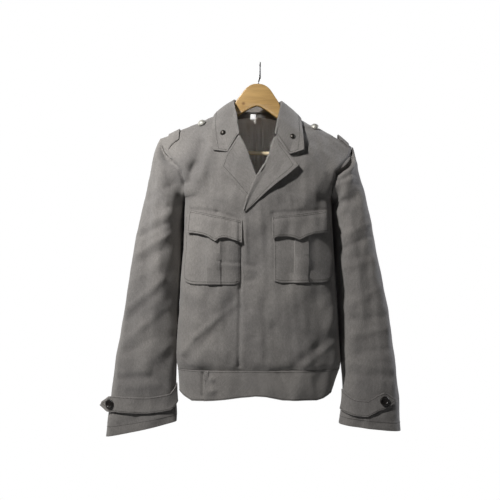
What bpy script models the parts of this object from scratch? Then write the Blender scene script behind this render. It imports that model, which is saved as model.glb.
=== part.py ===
"""Military tunic hanging on a plain wooden hanger.

Metres, +Z up. The front faces -Y and +X is the viewer's right, which is the wearer's left.
The origin is inside the crown of the hook, where the hanger is held.
Sizes and places below are in millimetres unless a name says otherwise.
"""
import functools
import math

import bmesh
import bpy
import numpy as np
from mathutils import Matrix

MM = 0.001
COLLECTION = "military_tunic"

# Cloth and seams
CLOTH = 2.0
FACING = 2.2
LINING = 1.0
SEAM = 0.3
REST = 0.9
CENTRE_X = -4.0
SHOULDER_ROUND = 0.25
NARROW = 3.0
SIDE_SEAM_Y = -12.0

# The body from the waist seam up to the shoulder seam, seen as level rows below the armpit.
# Above it the side of a row runs up the armhole and its middle up to the neck.
BODY_COLUMNS = ("half_width", "side_z", "front_side_y", "back_side_y", "front_y", "back_y",
                "front_z", "back_z", "fullness", "tilt", "shift")
BODY = (
    (172.5, -650.0, -12, -12, -75.0, 75, -650, -650, 2.5, 0, 1.5),
    (174.0, -632.0, -12, -12, -83.0, 82, -632, -632, 2.6, 0, 1),
    (172.0, -590.0, -12, -12, -88.0, 87, -590, -590, 2.7, 0, 0),
    (167.5, -510.0, -12, -12, -93.0, 92, -510, -510, 2.8, 0, 0),
    (161.5, -430.0, -12, -12, -97.0, 95, -430, -430, 2.9, 0, 0),
    (157.5, -355.0, -12, -12, -100.5, 97, -355, -355, 2.9, 0, 0),
    (155.5, -300.0, -12, -12, -101.5, 97, -302, -302, 2.7, 0, 0),
    (154.0, -285.0, -46, 40, -99.0, 97, -275, -272, 2.1, 2.0, 0),
    (155.5, -261.0, -58, 58, -95.0, 95, -244, -238, 1.9, 3.5, 0),
    (165.0, -234.0, -54, 58, -88.0, 89, -209, -196, 1.75, 5.0, 0),
    (186.0, -217.0, -40, 50, -76.0, 78, -160, -145, 1.6, 6.0, -1),
    (199.5, -197.0, -21, 34, -55.0, 60, -128, -101, 1.5, 7.0, -2),
    (204.0, -179.0, -9, 16, -32.0, 38, -108.5, -92.5, 1.4, 8.0, -2.5),
    (204.8, -171.9, -2, 6, -11.0, 15, -92.2, -91, 1.3, 8.4, -2.9),
    (205.0, -171.5, 1.5, 2.5, 1.5, 2.5, -91, -90.8, 1.3, 8.5, -3),
)
ARMPIT = 6
SHOULDER = 14
OUTLINE_STEPS = 60

# Hollow of the back at the neck, in levels down from the shoulder seam
NECK_HALF = 64.0
NECK_DROP = 2.75
NECK_LEVEL = 9.0

# Large soft folds, as ridges (or troughs, where the height is below 0) between two points
FOLD_COLUMNS = ("x0", "z0", "x1", "z1", "width", "height")
FRONT_FOLDS = (
    (-124, -178, -140, -232, 11, -7.0),
    (-140, -232, -150, -262, 12, -6.0),
    (-104, -185, -116, -250, 14, 3.0),
    (-60, -500, -40, -640, 26, -3.0),
    (70, -500, 85, -640, 30, 3.0),
    (118, -500, 128, -640, 20, -3.5),
    (-128, -500, -134, -640, 18, 3.0),
)
BACK_FOLDS = (
    (-80, -210, -95, -420, 26, -4.0),
    (84, -220, 100, -440, 28, -4.0),
    (-30, -400, -36, -640, 24, 3.0),
    (48, -420, 60, -640, 26, -3.0),
    (-118, -470, -122, -640, 20, -3.5),
)

# Front edges, as (x, z) points seen from the front, from the waist seam up to the neck
UNDER_EDGE = ((12, -660), (12, -312), (-10.5, -252), (-26.7, -205), (-46, -164), (-57, -133),
              (-67, -104), (-71, -94))
OVER_EDGE = ((-36, -660), (-33, -500), (-30, -455), (-33, -395), (-37, -337), (-26, -296),
             (-6, -250.5), (9, -228), (19, -208), (29.5, -172), (35, -155), (46, -131), (59, -108), (63, -99))
LAP_LIFT = 3.0
LAP_EXTRA = 3.4
LAP_DIP = 2.8
LAP_FROM, LAP_TO = 74.0, 26.0
LAP_FADE_LOW, LAP_FADE_HIGH = -235.0, -180.0
LAP_EXTRA_Z, LAP_EXTRA_SPAN = -272.0, 42.0
DIP_FROM, DIP_TO = -72.0, -22.0

# Lapels: corners as (x, z) seen from the front. The notch bends the top edge.
LAPEL_COLUMNS = ("roll_low", "roll_high", "hem_low", "tip", "notch", "radius", "rest", "stand_off")
LAPELS = {
    "lapel_right": ((2.0, -281.0), (-35.5, -166.0), (-8.0, -314.0), (-83.0, -232.5), (-69.5, -203.5),
                    2.5, 1.2, 0.8),
    "lapel_left": ((-35.5, -318.5), (28.0, -168.5), (-30.5, -322.5), (75.0, -231.0), (59.0, -207.8),
                   2.5, 1.2, 9.0),
}
LAPEL_BOW = {"lapel_right": 0.0, "lapel_left": 2.6}

# Half of the collar, from the gorge at the front to the centre of the back.
# x is the distance out from the centre, and each rail is a point on the visible side.
COLLAR_COLUMNS = ("seam_x", "seam_y", "seam_z", "fold_x", "fold_y", "fold_z",
                  "edge_x", "edge_y", "edge_z")
COLLAR = (
    (40.0, -71.5, -160.0, 38.5, -80.5, -160.0, 94.0, -79.5, -193.5),
    (52.0, -48.0, -130.0, 44.5, -44.0, -118.0, 96.0, -59.8, -154.5),
    (62.0, -3.0, -104.0, 49.0, -4.0, -83.0, 94.0, 0.0, -113.2),
    (53.0, 33.0, -102.0, 43.0, 36.0, -76.0, 85.0, 54.0, -118.0),
    (30.0, 46.0, -99.0, 26.0, 52.0, -70.5, 50.0, 72.0, -115.5),
    (0.0, 50.5, -97.0, 0.0, 56.0, -69.0, 0.0, 77.0, -114.5),
)
# How much nearer the centre the wearer's left half lies, for each row above
COLLAR_LEFT_SHIFT = ((6.0, 6.0, 0.0), (4.0, 4.0, 3.0), (1.5, 1.5, 2.0), (0, 0, 0), (0, 0, 0), (0, 0, 0))
COLLAR_NOTCHES = {-1.0: (-68.0, -199.0), 1.0: (60.0, -203.5)}
# How much further the edge of the wearer's left leaf stands off, for each row above
COLLAR_LEFT_STANDS_OFF = (5.0, 4.0, 1.0, 0.0, 0.0, 0.0)
COLLAR_RADIUS = 2.6
COLLAR_CROWN = 2.0
COLLAR_SPRING = 4.0
TILT_PER_MM = 8.5 / 205

# Sleeves from the head down to the cuff. outer and inner are the sides seen from the front.
SLEEVE_COLUMNS = ("outer_x", "outer_z", "inner_x", "inner_z", "front_y", "back_y", "fullness")
SLEEVES = {
    "sleeve_right": (
        (-226.0, -191, -160.8, -305, -62, 68, 2.1),
        (-236.5, -242, -161.1, -318, -62, 80, 2.1),
        (-249.0, -293, -162.0, -338, -61, 85, 2.1),
        (-261.5, -350, -163.5, -366, -60, 83, 2.15),
        (-269.5, -397, -165.5, -402, -58, 79, 2.2),
        (-286.5, -500, -172.4, -500, -52, 68, 2.2),
        (-303.5, -603, -177.8, -602, -46, 54, 2.25),
        (-318.5, -706, -179.0, -700, -44, 30, 2.3),
        (-328.0, -797, -178.0, -764, -44, 10, 2.4),
    ),
    "sleeve_left": (
        (206.5, -206, 152.8, -306, -62, 68, 2.1),
        (215.0, -248, 153.0, -318, -62, 80, 2.1),
        (228.0, -293, 154.0, -338, -62, 86, 2.1),
        (239.5, -350, 155.4, -366, -61, 84, 2.15),
        (249.0, -397, 157.4, -402, -59, 80, 2.2),
        (269.0, -500, 164.6, -500, -54, 70, 2.2),
        (286.0, -603, 170.0, -602, -50, 58, 2.25),
        (295.0, -706, 177.0, -700, -50, 36, 2.3),
        (299.5, -784, 168.0, -769, -50, 18, 2.4),
    ),
}
SLEEVE_LEAVES = (0.8, 0.0, -0.6)
SLEEVE_HEAD_EDGE = 3.5
# Folds on a sleeve, from the head of the sleeve: around is in turns from the outer side by the front
SLEEVE_FOLD_COLUMNS = ("around0", "level0", "around1", "level1", "width", "height")
SLEEVE_FOLDS = {
    "sleeve_right": (
        (0.14, 3.2, 0.20, 6.4, 0.045, -5.0),
        (0.30, 4.2, 0.26, 8.4, 0.05, 4.0),
        (0.08, 5.5, 0.12, 9.0, 0.04, 3.5),
        (0.62, 4.0, 0.68, 8.0, 0.05, -5.0),
        (0.86, 3.5, 0.82, 8.0, 0.05, -4.0),
    ),
    "sleeve_left": (
        (0.36, 3.0, 0.20, 3.6, 0.035, -5.0),
        (0.22, 4.6, 0.28, 8.6, 0.05, -4.5),
        (0.10, 5.0, 0.13, 9.2, 0.045, 3.5),
        (0.64, 4.0, 0.70, 8.4, 0.05, -5.0),
        (0.85, 3.6, 0.83, 8.0, 0.05, 4.0),
    ),
}

# Waistband: its heights and its lapped end
BAND_TOP = -650.9
# Lower edge of the band on the front, as (x, z) points; the back is level
BAND_FRONT_EDGE = ((-172, -700), (-166, -706), (-145, -716), (-93, -713.5), (-3, -704), (21, -705), (57, -712),
                   (135, -716), (150, -712), (165, -704))
BAND_BACK_Z = -712.0
BAND_UNDER_END_X = 24.0
BAND_OVER_END_X = -117.0
BAND_LAP = 3.4
BAND_TUCK, BAND_TUCK_X = 0.936, -127.0
BAND_CORNER = 8.0

# Breast pockets: across is measured on the cloth from the centre line. Right is the wearer's.
POCKET_COLUMNS = ("inner", "outer", "top_inner", "top_outer", "bottom", "pleat_from", "pleat_to",
                  "flap_inner", "flap_outer", "rest")
POCKETS = {
    "right": (-37.0, -161.0, -351.0, -327.0, -472.0, -76.0, -106.0, -34.0, -148.5, 1.5),
    "left": (31.0, 160.0, -344.0, -328.5, -468.0, 72.5, 104.0, 27.5, 147.5, 1.2),
}
POCKET_CLOTH = 1.6
POCKET_CORNER, POCKET_CORNER_RISE = 8.0, 4.0
POCKET_OUTER_CORNER, POCKET_OUTER_RISE = 30.0, 14.0
PLEAT_RISE = 2.0
# Drop of a flap's lower edge below its sewn edge, across the flap from the inner end
FLAP_SCALLOPS = {
    "right": ((0.0, 46.0), (0.1, 44.2), (0.26, 42.2), (0.33, 43.5), (0.4, 47.5), (0.455, 55.0), (0.52, 51.5),
              (0.58, 48.2), (0.66, 46.5), (0.78, 46.2), (0.9, 47.0), (1.0, 49.5)),
    "left": ((0.0, 44.7), (0.1, 42.4), (0.2, 43.5), (0.3, 45.7), (0.39, 50.0), (0.457, 54.5), (0.53, 51.5),
             (0.6, 48.4), (0.7, 46.0), (0.8, 45.6), (0.9, 46.0), (1.0, 46.5)),
}
FLAP_SEWN_ABOVE = 11.0
FLAP_SPREADS = {"right": 3.4, "left": 2.6}
FLAP_RISE = 3.2

# Cuff tabs: along is from 0 where the tab leaves the seam to 1 at its point
TAB_COLUMNS = ("along", "around", "upper_z", "lower_z")
CUFF_TABS = {
    "cuff_tab_right": ((0.0, 0.47, -683, -722), (0.25, 0.40, -704, -738), (0.5, 0.27, -711, -744),
                       (0.8, 0.12, -709, -742), (0.9, 0.12, -710, -741), (1.0, 0.12, -722, -727)),
    "cuff_tab_left": ((0.0, 0.464, -696, -737), (0.3, 0.343, -715, -748), (0.52, 0.269, -717, -750),
                      (0.65, 0.231, -705, -738), (0.82, 0.191, -699, -732.5), (1.0, 0.118, -714, -718)),
}
TAB_CLOTH = 1.8
TAB_SPREAD = 2.6
# How far a tab runs straight on where it leaves the sleeve
TAB_LEAVES = {"cuff_tab_right": 37.0, "cuff_tab_left": 0.0}

# Buttons and studs: radius and height out from a flat back, as points on a turned profile
CUFF_BUTTON = ((0.0, 3.4), (5.5, 3.4), (7.0, 4.6), (9.0, 4.8), (10.0, 3.2), (10.0, 1.2), (8.6, 0.0), (0.0, 0.0))
SHOULDER_BUTTON = ((0.0, 8.4), (3.6, 7.9), (6.6, 6.0), (8.5, 3.2), (9.0, 1.7), (8.2, 0.6), (3.0, 0.0), (0.0, 0.0))
COLLAR_STUD = ((0.0, 4.0), (2.4, 3.6), (4.4, 2.4), (5.8, 0.9), (5.8, 0.0), (0.0, 0.0))
CUFF_BUTTON_PLACE = {"cuff_button_right": 0.86, "cuff_button_left": 0.80}
SHOULDER_BUTTON_X = {"shoulder_button_right": -123.5, "shoulder_button_left": 116.5}
SHOULDER_BUTTON_Y = -16.0
COLLAR_STUD_PLACE = {"collar_stud_right": (-77.5, -158.0), "collar_stud_left": (66.5, -166.0)}

# Shoulder-strap carriers, from the front end over the shoulder to the back end
CARRIER_COLUMNS = ("x", "width", "rise_in", "rise_out", "front_y", "back_y")
CARRIERS = {"carrier_right": (-185.0, 24.0, 1.0, 1.0, -28.0, 10.0),
            "carrier_left": (181.0, 21.0, 9.0, 1.5, -14.0, 22.0)}
CARRIER_CLOTH = 1.8

# Lining down the inside of the back, and the label on it
LINING_HALF_WIDTH = 78.0
LINING_LOW_Z = -330.0
LINING_INSET = 5.5
LINING_NECK_INSET = 4.0
LINING_PLEATS = 5
LINING_PLEAT_DEPTH = 1.6
LABEL_X, LABEL_Z, LABEL_SIZE, LABEL_THICK = -15.0, -107.0, 11.5, 0.6

# Hanger, drawn level about its centre and turned with the shoulders. Half of the wooden outline.
WOOD_TOP = ((0, -44), (9, -44.7), (17, -47.8), (24, -53), (30, -60), (35.5, -68), (40.5, -75), (45, -81),
            (49.2, -89.5), (53, -101), (58, -112),
            (66, -118.5), (80, -123.5), (97, -126.5), (131, -140.2), (166, -157.4), (188, -170.5))
WOOD_BOTTOM = ((197, -184), (198, -196), (194, -202), (182, -202), (182, -187), (160, -181), (131, -167),
               (97, -149), (64, -131), (41, -115.5), (20, -101), (0, -91))
WOOD_THICK = 12.0
WOOD_EDGE = 2.5
HANGER_X = -4.0
HANGER_TILT = math.radians(2.3)
BAR_Z, BAR_RADIUS, BAR_HALF = -193.0, 4.2, 181.2
HOOK_WIRE = 1.5
HOOK_RADIUS = 19.0
HOOK_STEM_FOOT = -46.0


def smooth_rows(table, t):
    """Rows of the table at the row numbers t, on a smooth curve through its rows."""
    rows = np.asarray(table, float)
    t = np.atleast_1d(np.asarray(t, float))
    slopes = np.gradient(rows, axis=0)
    k = np.clip(t.astype(int), 0, len(rows) - 2)
    f = (t - k).reshape((-1,) + (1,) * (rows.ndim - 1))
    rise = f * f * (3 - 2 * f)
    bend = slopes[k] * f * (1 - f) ** 2 + slopes[k + 1] * f * f * (f - 1)
    return rows[k] * (1 - rise) + rows[k + 1] * rise + bend


def ease(start, stop, value):
    """0 at start, 1 at stop, with soft ends."""
    f = np.clip((value - start) / (stop - start), 0, 1)
    return f * f * (3 - 2 * f)


def run_of(points):
    """Distance along a polyline at each of its points."""
    steps = np.linalg.norm(np.diff(points, axis=0), axis=1)
    return np.concatenate([[0.0], np.cumsum(steps)])


def at_run(points, places):
    """Points at the given distances along a polyline."""
    run = run_of(points)
    return np.stack([np.interp(places, run, points[:, i]) for i in range(points.shape[1])], -1)


def unit(vector):
    """Vectors of length 1."""
    return vector / np.maximum(np.linalg.norm(vector, axis=-1, keepdims=True), 1e-9)


def fold_push(a, b, folds):
    """How far the folds push the cloth out at the places (a, b)."""
    push = np.zeros_like(a)
    for a0, b0, a1, b1, width, height in folds:
        run_a, run_b = a1 - a0, b1 - b0
        t = np.clip(((a - a0) * run_a + (b - b0) * run_b) / (run_a ** 2 + run_b ** 2), 0, 1)
        away = (a - a0 - t * run_a) ** 2 + (b - b0 - t * run_b) ** 2
        push = push + height * np.exp(-away / width ** 2)
    return push


def lap_lift(face, x, z):
    """How far the upper front stands over the under one, and the under one gives way to its lapel."""
    near = np.exp(-((z - LAP_EXTRA_Z) / LAP_EXTRA_SPAN) ** 2)
    if face == "front_left":
        return (LAP_LIFT + LAP_EXTRA * near) * ease(LAP_FROM, LAP_TO, x) * ease(LAP_FADE_HIGH, LAP_FADE_LOW, z)
    return -LAP_DIP * near * ease(DIP_FROM, DIP_TO, x)


def body_row(level, face):
    """Outline of one face of the body at a level, in fine steps from -X to +X."""
    row = dict(zip(BODY_COLUMNS, smooth_rows(BODY, level)[0]))
    back = face == "back"
    side_y, mid_y, mid_z = ((row["back_side_y"], row["back_y"], row["back_z"]) if back
                            else (row["front_side_y"], row["front_y"], row["front_z"]))
    if level < ARMPIT:
        side_y = SIDE_SEAM_Y
    turn = np.linspace(0, math.pi / 2, OUTLINE_STEPS)
    out = np.abs(np.cos(turn)) ** (2 / row["fullness"])
    bulge = np.sin(turn) ** (2 / row["fullness"])
    soft = SHOULDER_ROUND
    climb = 1 - (np.sqrt(out ** 2 + soft ** 2) - soft) / (math.sqrt(1 + soft ** 2) - soft)
    x = row["half_width"] * out
    y = side_y + (mid_y - side_y) * bulge
    z = row["side_z"] + (mid_z - row["side_z"]) * climb
    middle = CENTRE_X + row["shift"] * out
    low_x = np.stack([middle - x, y, z + row["tilt"] * out], 1)
    high_x = np.stack([middle + x, y, z - row["tilt"] * out], 1)[::-1]
    points = np.concatenate([low_x, high_x[1:]])
    push = fold_push(points[:, 0], points[:, 2], BACK_FOLDS if back else FRONT_FOLDS)
    if face != "back":
        push = push + lap_lift(face, points[:, 0], points[:, 2])
    points[:, 1] += push if back else -push
    return points


def level_at(z):
    """Level of the body at a height below the armpit."""
    levels = np.linspace(0, ARMPIT, 121)
    return np.interp(z, smooth_rows(BODY, levels)[:, 1], levels)


def edge_run(row, edge):
    """Distance along a row to where it meets an edge of (x, z) points, seen from the front."""
    edge = np.asarray(edge, float)
    off = row[:, 0] - np.interp(row[:, 2], edge[:, 1], edge[:, 0])
    i = max(int(np.argmax(off > 0)), 1)
    f = off[i - 1] / (off[i - 1] - off[i])
    run = run_of(row)
    return run[i - 1] + f * (run[i] - run[i - 1])


class Face:
    """One face of the body: its rows, and its depth and height at places seen from afar."""

    def __init__(self, face):
        self.face = face
        self.rows = [body_row(v, face) for v in np.linspace(2.5, SHOULDER, 93)]
        self.out = 1.0 if face == "back" else -1.0

    def depth(self, x, z):
        """y of the cloth at (x, z), seen from the front or the back."""
        row_z = np.array([np.interp(x, r[:, 0], r[:, 2]) for r in self.rows])
        row_y = np.array([np.interp(x, r[:, 0], r[:, 1]) for r in self.rows])
        return np.interp(z, row_z, row_y)

    def lifted(self, x, z, lift):
        """Point over the cloth at (x, z), lifted off it along its normal."""
        d = 2.0
        y = self.depth(x, z)
        slope_x = (self.depth(x + d, z) - self.depth(x - d, z)) / (2 * d)
        slope_z = (self.depth(x, z + d) - self.depth(x, z - d)) / (2 * d)
        normal = unit(np.array([-slope_x, 1.0, -slope_z]) * self.out)
        return np.array([x, y, z]) + normal * lift


@functools.lru_cache(maxsize=None)
def panel_levels(face, below, above):
    """Levels of a panel's rows: even below the armpit, then even up the armhole and over the shoulder."""
    armhole = np.linspace(ARMPIT, 12, 121)
    points = np.array([body_row(v, face)[0] for v in armhole])
    spaced = np.interp(np.linspace(0, run_of(points)[-1], above + 1), run_of(points), armhole)
    return np.concatenate([np.linspace(0, ARMPIT, below + 1)[:-1], spaced, [12.7, 13.4, SHOULDER]])


def panel_places(start, stop, side, columns):
    """Distances across a panel, with one narrow column along the side seam."""
    places = np.linspace(start, stop, columns)
    narrow = start + NARROW if side < 0 else stop - NARROW
    return np.sort(np.append(places, narrow))


def front_panel(face, below, above, columns):
    """Grid of the outer side of a front panel."""
    grid = []
    for level in panel_levels(face, below, above):
        row = body_row(level, face)
        total = run_of(row)[-1]
        if face == "front_right":
            places = panel_places(SEAM, edge_run(row, UNDER_EDGE) - SEAM, -1, columns)
        else:
            places = panel_places(edge_run(row, OVER_EDGE) + SEAM, total - SEAM, 1, columns)
        grid.append(at_run(row, places))
    return np.array(grid)


def back_panel(below, above, columns):
    """Grid of the outer side of the back panel, hollowed out at the neck."""
    grid = []
    for level in panel_levels("back", below, above):
        row = body_row(level, "back")
        total = run_of(row)[-1]
        places = np.sort(np.append(np.linspace(SEAM / 2, total - SEAM / 2, columns - 1),
                                   (SEAM / 2 + NARROW, total - SEAM / 2 - NARROW)))
        line = at_run(row, places)
        if level > NECK_LEVEL:
            for j, place in enumerate(places):
                away = min(abs(line[j, 0] - CENTRE_X) / NECK_HALF, 1.0)
                dip = NECK_DROP * (1 - away ** 4) ** 0.8
                lower = body_row(level - dip * ease(NECK_LEVEL, SHOULDER, level), "back")
                line[j] = at_run(lower, [place / total * run_of(lower)[-1]])[0]
        grid.append(line)
    return np.array(grid)


@functools.lru_cache(maxsize=None)
def armhole_loop(side, count):
    """Armhole from the shoulder tip down the front and up the back."""
    end = 0 if side < 0 else -1
    face = "front_right" if side < 0 else "front_left"
    front = panel_levels(face, 1, count // 2 - 3)[1:]
    back = panel_levels("back", 1, count // 2 - 3)[1:]
    loop = [body_row(v, face)[end] for v in front[::-1]]
    loop += [body_row(v, "back")[end] for v in back[1:-1]]
    return np.array(loop)


def sleeve_rings(name, around):
    """Rings that a sleeve passes through, each as points at the given turns around it."""
    side = -1 if name == "sleeve_right" else 1
    count = len(around)
    leaves = unit(np.array(SLEEVE_LEAVES) * (side, 1, 1))
    loop = armhole_loop(side, count)
    rings = [loop + leaves * SEAM * 2, loop + leaves * SLEEVE_HEAD_EDGE]
    for row in SLEEVES[name]:
        outer_x, outer_z, inner_x, inner_z, front_y, back_y, fullness = row
        turn = 2 * math.pi * around
        c, s = np.cos(turn), np.sin(turn)
        c = np.sign(c) * np.abs(c) ** (2 / fullness)
        s = np.sign(s) * np.abs(s) ** (2 / fullness)
        rings.append(np.stack([(outer_x + inner_x) / 2 + c * (outer_x - inner_x) / 2,
                               (front_y + back_y) / 2 - s * (back_y - front_y) / 2,
                               (outer_z + inner_z) / 2 + c * (outer_z - inner_z) / 2], 1))
    return np.array(rings)


def sleeve_surface(name, around, levels):
    """Grid of the outer side of a sleeve at the given turns and levels, folds included."""
    grid = smooth_rows(sleeve_rings(name, around), levels)
    centre = grid.mean(axis=1, keepdims=True)
    outward = unit(grid - centre)
    a, b = np.meshgrid(around, levels)
    folds = [(a0, b0 * 0.1, a1, b1 * 0.1, w, h) for a0, b0, a1, b1, w, h in SLEEVE_FOLDS[name]]
    return grid + outward * fold_push(a, b * 0.1, folds)[..., None]


def section(seam, fold, edge, radius, crown, steps, sweep=math.pi):
    """Stand, rounded fold and leaf of turned-back cloth, through three points on its visible side."""
    stand_steps, fold_steps, leaf_steps = steps
    up = unit(fold - seam)
    over = edge - fold
    over = unit(over - up * (over @ up))
    centre = fold - up * radius + over * radius
    points = [seam + (fold - up * radius - seam) * f for f in np.linspace(0, 1, stand_steps + 1)[:-1]]
    for angle in np.linspace(0, sweep, fold_steps + 1):
        points.append(centre + radius * (up * math.sin(angle) - over * math.cos(angle)))
    start = points[-1]
    out = unit(up - unit(edge - start) * (up @ unit(edge - start)))
    for f in np.linspace(0, 1, leaf_steps + 1)[1:]:
        points.append(start + (edge - start) * f + out * crown * 4 * f * (1 - f))
    return np.array(points)


def collar_grid(stations, steps):
    """Grid of the visible side of the collar, from the viewer's left round the back to the right."""
    grid = []
    fold_at = steps[0] + steps[1]
    for t in stations:
        half = 1 - abs(t)
        side = -1.0 if t < 0 else 1.0
        rails = smooth_rows(COLLAR, half * (len(COLLAR) - 1))[0].reshape(3, 3)
        if side > 0:
            rails[:, 0] -= smooth_rows(COLLAR_LEFT_SHIFT, half * (len(COLLAR) - 1))[0]
            rails[2, 1] -= smooth_rows(COLLAR_LEFT_STANDS_OFF, half * (len(COLLAR) - 1))[0]
        rails[:, 2] -= side * rails[:, 0] * TILT_PER_MM * min(1.0, 5 * half)
        rails[:, 0] = CENTRE_X + side * rails[:, 0]
        points = section(rails[0], rails[1], rails[2], COLLAR_RADIUS, COLLAR_CROWN, steps)
        weight = max(0.0, 1 - half * (len(COLLAR) - 1)) ** 2
        if weight > 0:
            notch = np.array(COLLAR_NOTCHES[side])
            leaf = points[fold_at:]
            start, end = leaf[0][[0, 2]], leaf[-1][[0, 2]]
            bent = at_run(np.array([start, notch, end]),
                          np.linspace(0, 1, len(leaf)) * run_of(np.array([start, notch, end]))[-1])
            straight = start + (end - start) * np.linspace(0, 1, len(leaf))[:, None]
            points[fold_at:, 0] += weight * (bent - straight)[:, 0]
            points[fold_at:, 2] += weight * (bent - straight)[:, 1]
            points[fold_at:, 1] -= weight * COLLAR_SPRING * np.sin(np.linspace(0, math.pi, len(leaf)))
        grid.append(points)
    return np.array(grid)


def lapel_grid(name, surface, rows, steps):
    """Grid of the visible side of a lapel, from its low end up to the gorge."""
    roll_low, roll_high, hem_low, tip, notch, radius, top_rest, stand_off = (
        np.array(v, float) if isinstance(v, tuple) else v for v in LAPELS[name])
    edge = np.asarray(UNDER_EDGE if name == "lapel_right" else OVER_EDGE, float)
    toward_opening = 1.0 if name == "lapel_right" else -1.0
    fold_at = steps[0] + steps[1]
    grid = []
    for q in np.linspace(0, 1, rows + 1):
        z = roll_low[1] + (roll_high[1] - roll_low[1]) * q
        x = np.interp(z, edge[:, 1], edge[:, 0]) + toward_opening * FACING * 1.6
        outer = hem_low + (tip - hem_low) * q + (0.0, LAPEL_BOW[name] * math.sin(math.pi * q))
        rest = SEAM + (top_rest - SEAM) * ease(0.0, 0.5, q)
        seam = surface.lifted(x, z, -CLOTH + 0.8)
        fold = surface.lifted(x, z, FACING + rest + radius)
        end = surface.lifted(outer[0], outer[1], FACING + rest + stand_off * q)
        points = section(seam, fold, end, radius, 0.0, steps, math.pi / 2)
        start = points[fold_at][[0, 2]]
        shares = np.linspace(0, 1, steps[2] + 1)
        way = np.array([start, notch, tip])
        bent = at_run(way, shares * run_of(way)[-1])
        straight = start + (tip - start) * shares[:, None]
        for k, share in enumerate(shares):
            place = start + (outer - start) * share + (bent - straight)[k] * q ** 2
            lift = FACING + rest + radius * ease(0.4, 0.0, share) + stand_off * q * share ** 2
            points[fold_at + k] = surface.lifted(place[0], place[1], lift)
        grid.append(points)
    return np.array(grid)


def on_front(across, z, surface, lift):
    """Point over the front at a distance across the cloth from the centre line."""
    row = body_row(level_at(z), surface.face)
    run = run_of(row)
    centre = np.interp(CENTRE_X, row[:, 0], run)
    here = at_run(row, [centre + across - 1, centre + across, centre + across + 1])
    way = unit(here[2] - here[0])
    return here[1] + np.array([way[1], -way[0], 0]) * lift


def pocket_columns(inner, outer, pleat_from, pleat_to):
    """Places across a pocket, with pairs of columns at the edges of its pleat."""
    step = 1.2 if outer > inner else -1.2
    left = np.linspace(inner, pleat_from, 4)
    middle = np.linspace(pleat_from + step, pleat_to - step, 3)
    right = pleat_to + (outer - pleat_to) * np.array([0.0, 0.3, 0.52, 0.7, 0.84, 0.95, 1.0])
    return np.concatenate([left, middle, right])


def pocket_grid(side, surface, rows):
    """Grid of the outer side of a patch pocket with its box pleat."""
    inner, outer, top_inner, top_outer, bottom, pleat_from, pleat_to, _, _, rest = POCKETS[side]
    grid = []
    for v in np.linspace(0, 1, rows + 1):
        line = []
        for across in pocket_columns(inner, outer, pleat_from, pleat_to):
            share = (across - inner) / (outer - inner)
            top = top_inner + (top_outer - top_inner) * share
            low = bottom
            for away, size, cut in ((share, POCKET_CORNER, POCKET_CORNER_RISE),
                                    (1 - share, POCKET_OUTER_CORNER, POCKET_OUTER_RISE)):
                near = min(away * abs(outer - inner) / size, 1.0)
                low += cut * (1 - math.sqrt(1 - (1 - near) ** 2))
            z = low + (top - low) * v
            pleat = abs(pleat_from) < abs(across) < abs(pleat_to)
            rise = PLEAT_RISE * ease(0.0, 26.0, top - z) if pleat else 0.0
            line.append(on_front(across, z, surface, rest + POCKET_CLOTH + rise))
        grid.append(line)
    return np.array(grid)


def flap_grid(side, surface, columns, rows):
    """Grid of the outer side of a scalloped pocket flap."""
    top_inner, top_outer = POCKETS[side][2:4]
    inner, outer, rest = POCKETS[side][-3:]
    places = [p for p, _ in FLAP_SCALLOPS[side]]
    drops = [d for _, d in FLAP_SCALLOPS[side]]
    shares = np.union1d(np.linspace(0, 1, columns + 1), places[1:-1])
    grid = []
    for v in np.linspace(0, 1, rows + 1):
        line = []
        for share in shares:
            across = inner + (outer - inner) * share
            top = top_inner + FLAP_SEWN_ABOVE + (top_outer - top_inner) * share
            drop = np.interp(share, places, drops) * (1 - v)
            rise = FLAP_RISE * ease(0.0, 14.0, drop) + FLAP_SPREADS[side] * (1 - v) ** 2
            pleat = ease(0.2, 0.08, abs(share - 0.45)) * 1.4
            line.append(on_front(across, top - drop, surface, rest - 0.5 + CLOTH + rise + pleat))
        grid.append(line)
    return np.array(grid)


def level_on_sleeve(name, around, z):
    """Level of a sleeve where it is at height z, at one turn around it."""
    levels = np.linspace(6, 10, 81)
    line = sleeve_surface(name, np.linspace(0, 1, 33)[:-1], levels)
    i = around * 32
    k = int(i) % 32
    heights = line[:, k, 2] + (line[:, (k + 1) % 32, 2] - line[:, k, 2]) * (i - int(i))
    return np.interp(-z, -heights, levels)


def on_sleeve(name, around, z, lift):
    """Point over a sleeve at one turn around it and one height, and the way round it there."""
    turns = np.linspace(0, 1, 129)[:-1]
    level = level_on_sleeve(name, around, z)
    ring = sleeve_surface(name, turns, np.array([level]))[0]
    ring = np.concatenate([ring, ring[:1]])
    here = [np.array([np.interp(a, np.linspace(0, 1, 129), ring[:, i]) for i in range(3)])
            for a in (around + 0.012, around, around - 0.012)]
    way = unit(here[2] - here[0])
    side = 1.0 if name == "sleeve_right" else -1.0
    return here[1] + np.array([-way[1], way[0], 0]) * lift * side, way


def tab_grid(name, columns, rows, lift=REST):
    """Grid of the outer side of a cuff tab, from the seam to its point."""
    sleeve = "sleeve_right" if name == "cuff_tab_right" else "sleeve_left"
    table = np.array(CUFF_TABS[name])
    grid = []
    for v in np.linspace(0, 1, rows + 1):
        line = []
        for along in np.linspace(0, 1, columns + 1):
            around, upper, lower = (np.interp(along, table[:, 0], table[:, i]) for i in (1, 2, 3))
            clear = lift + TAB_CLOTH + 1.5 * ease(0.3, 0.0, along) + TAB_SPREAD * (1 - v) ** 2
            point, way = on_sleeve(sleeve, around, lower + (upper - lower) * v, clear)
            point = point + way * TAB_LEAVES[name] * max(0.0, (along - 0.8) / 0.2)
            line.append(point)
        grid.append(line)
    return np.array(grid)


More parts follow.
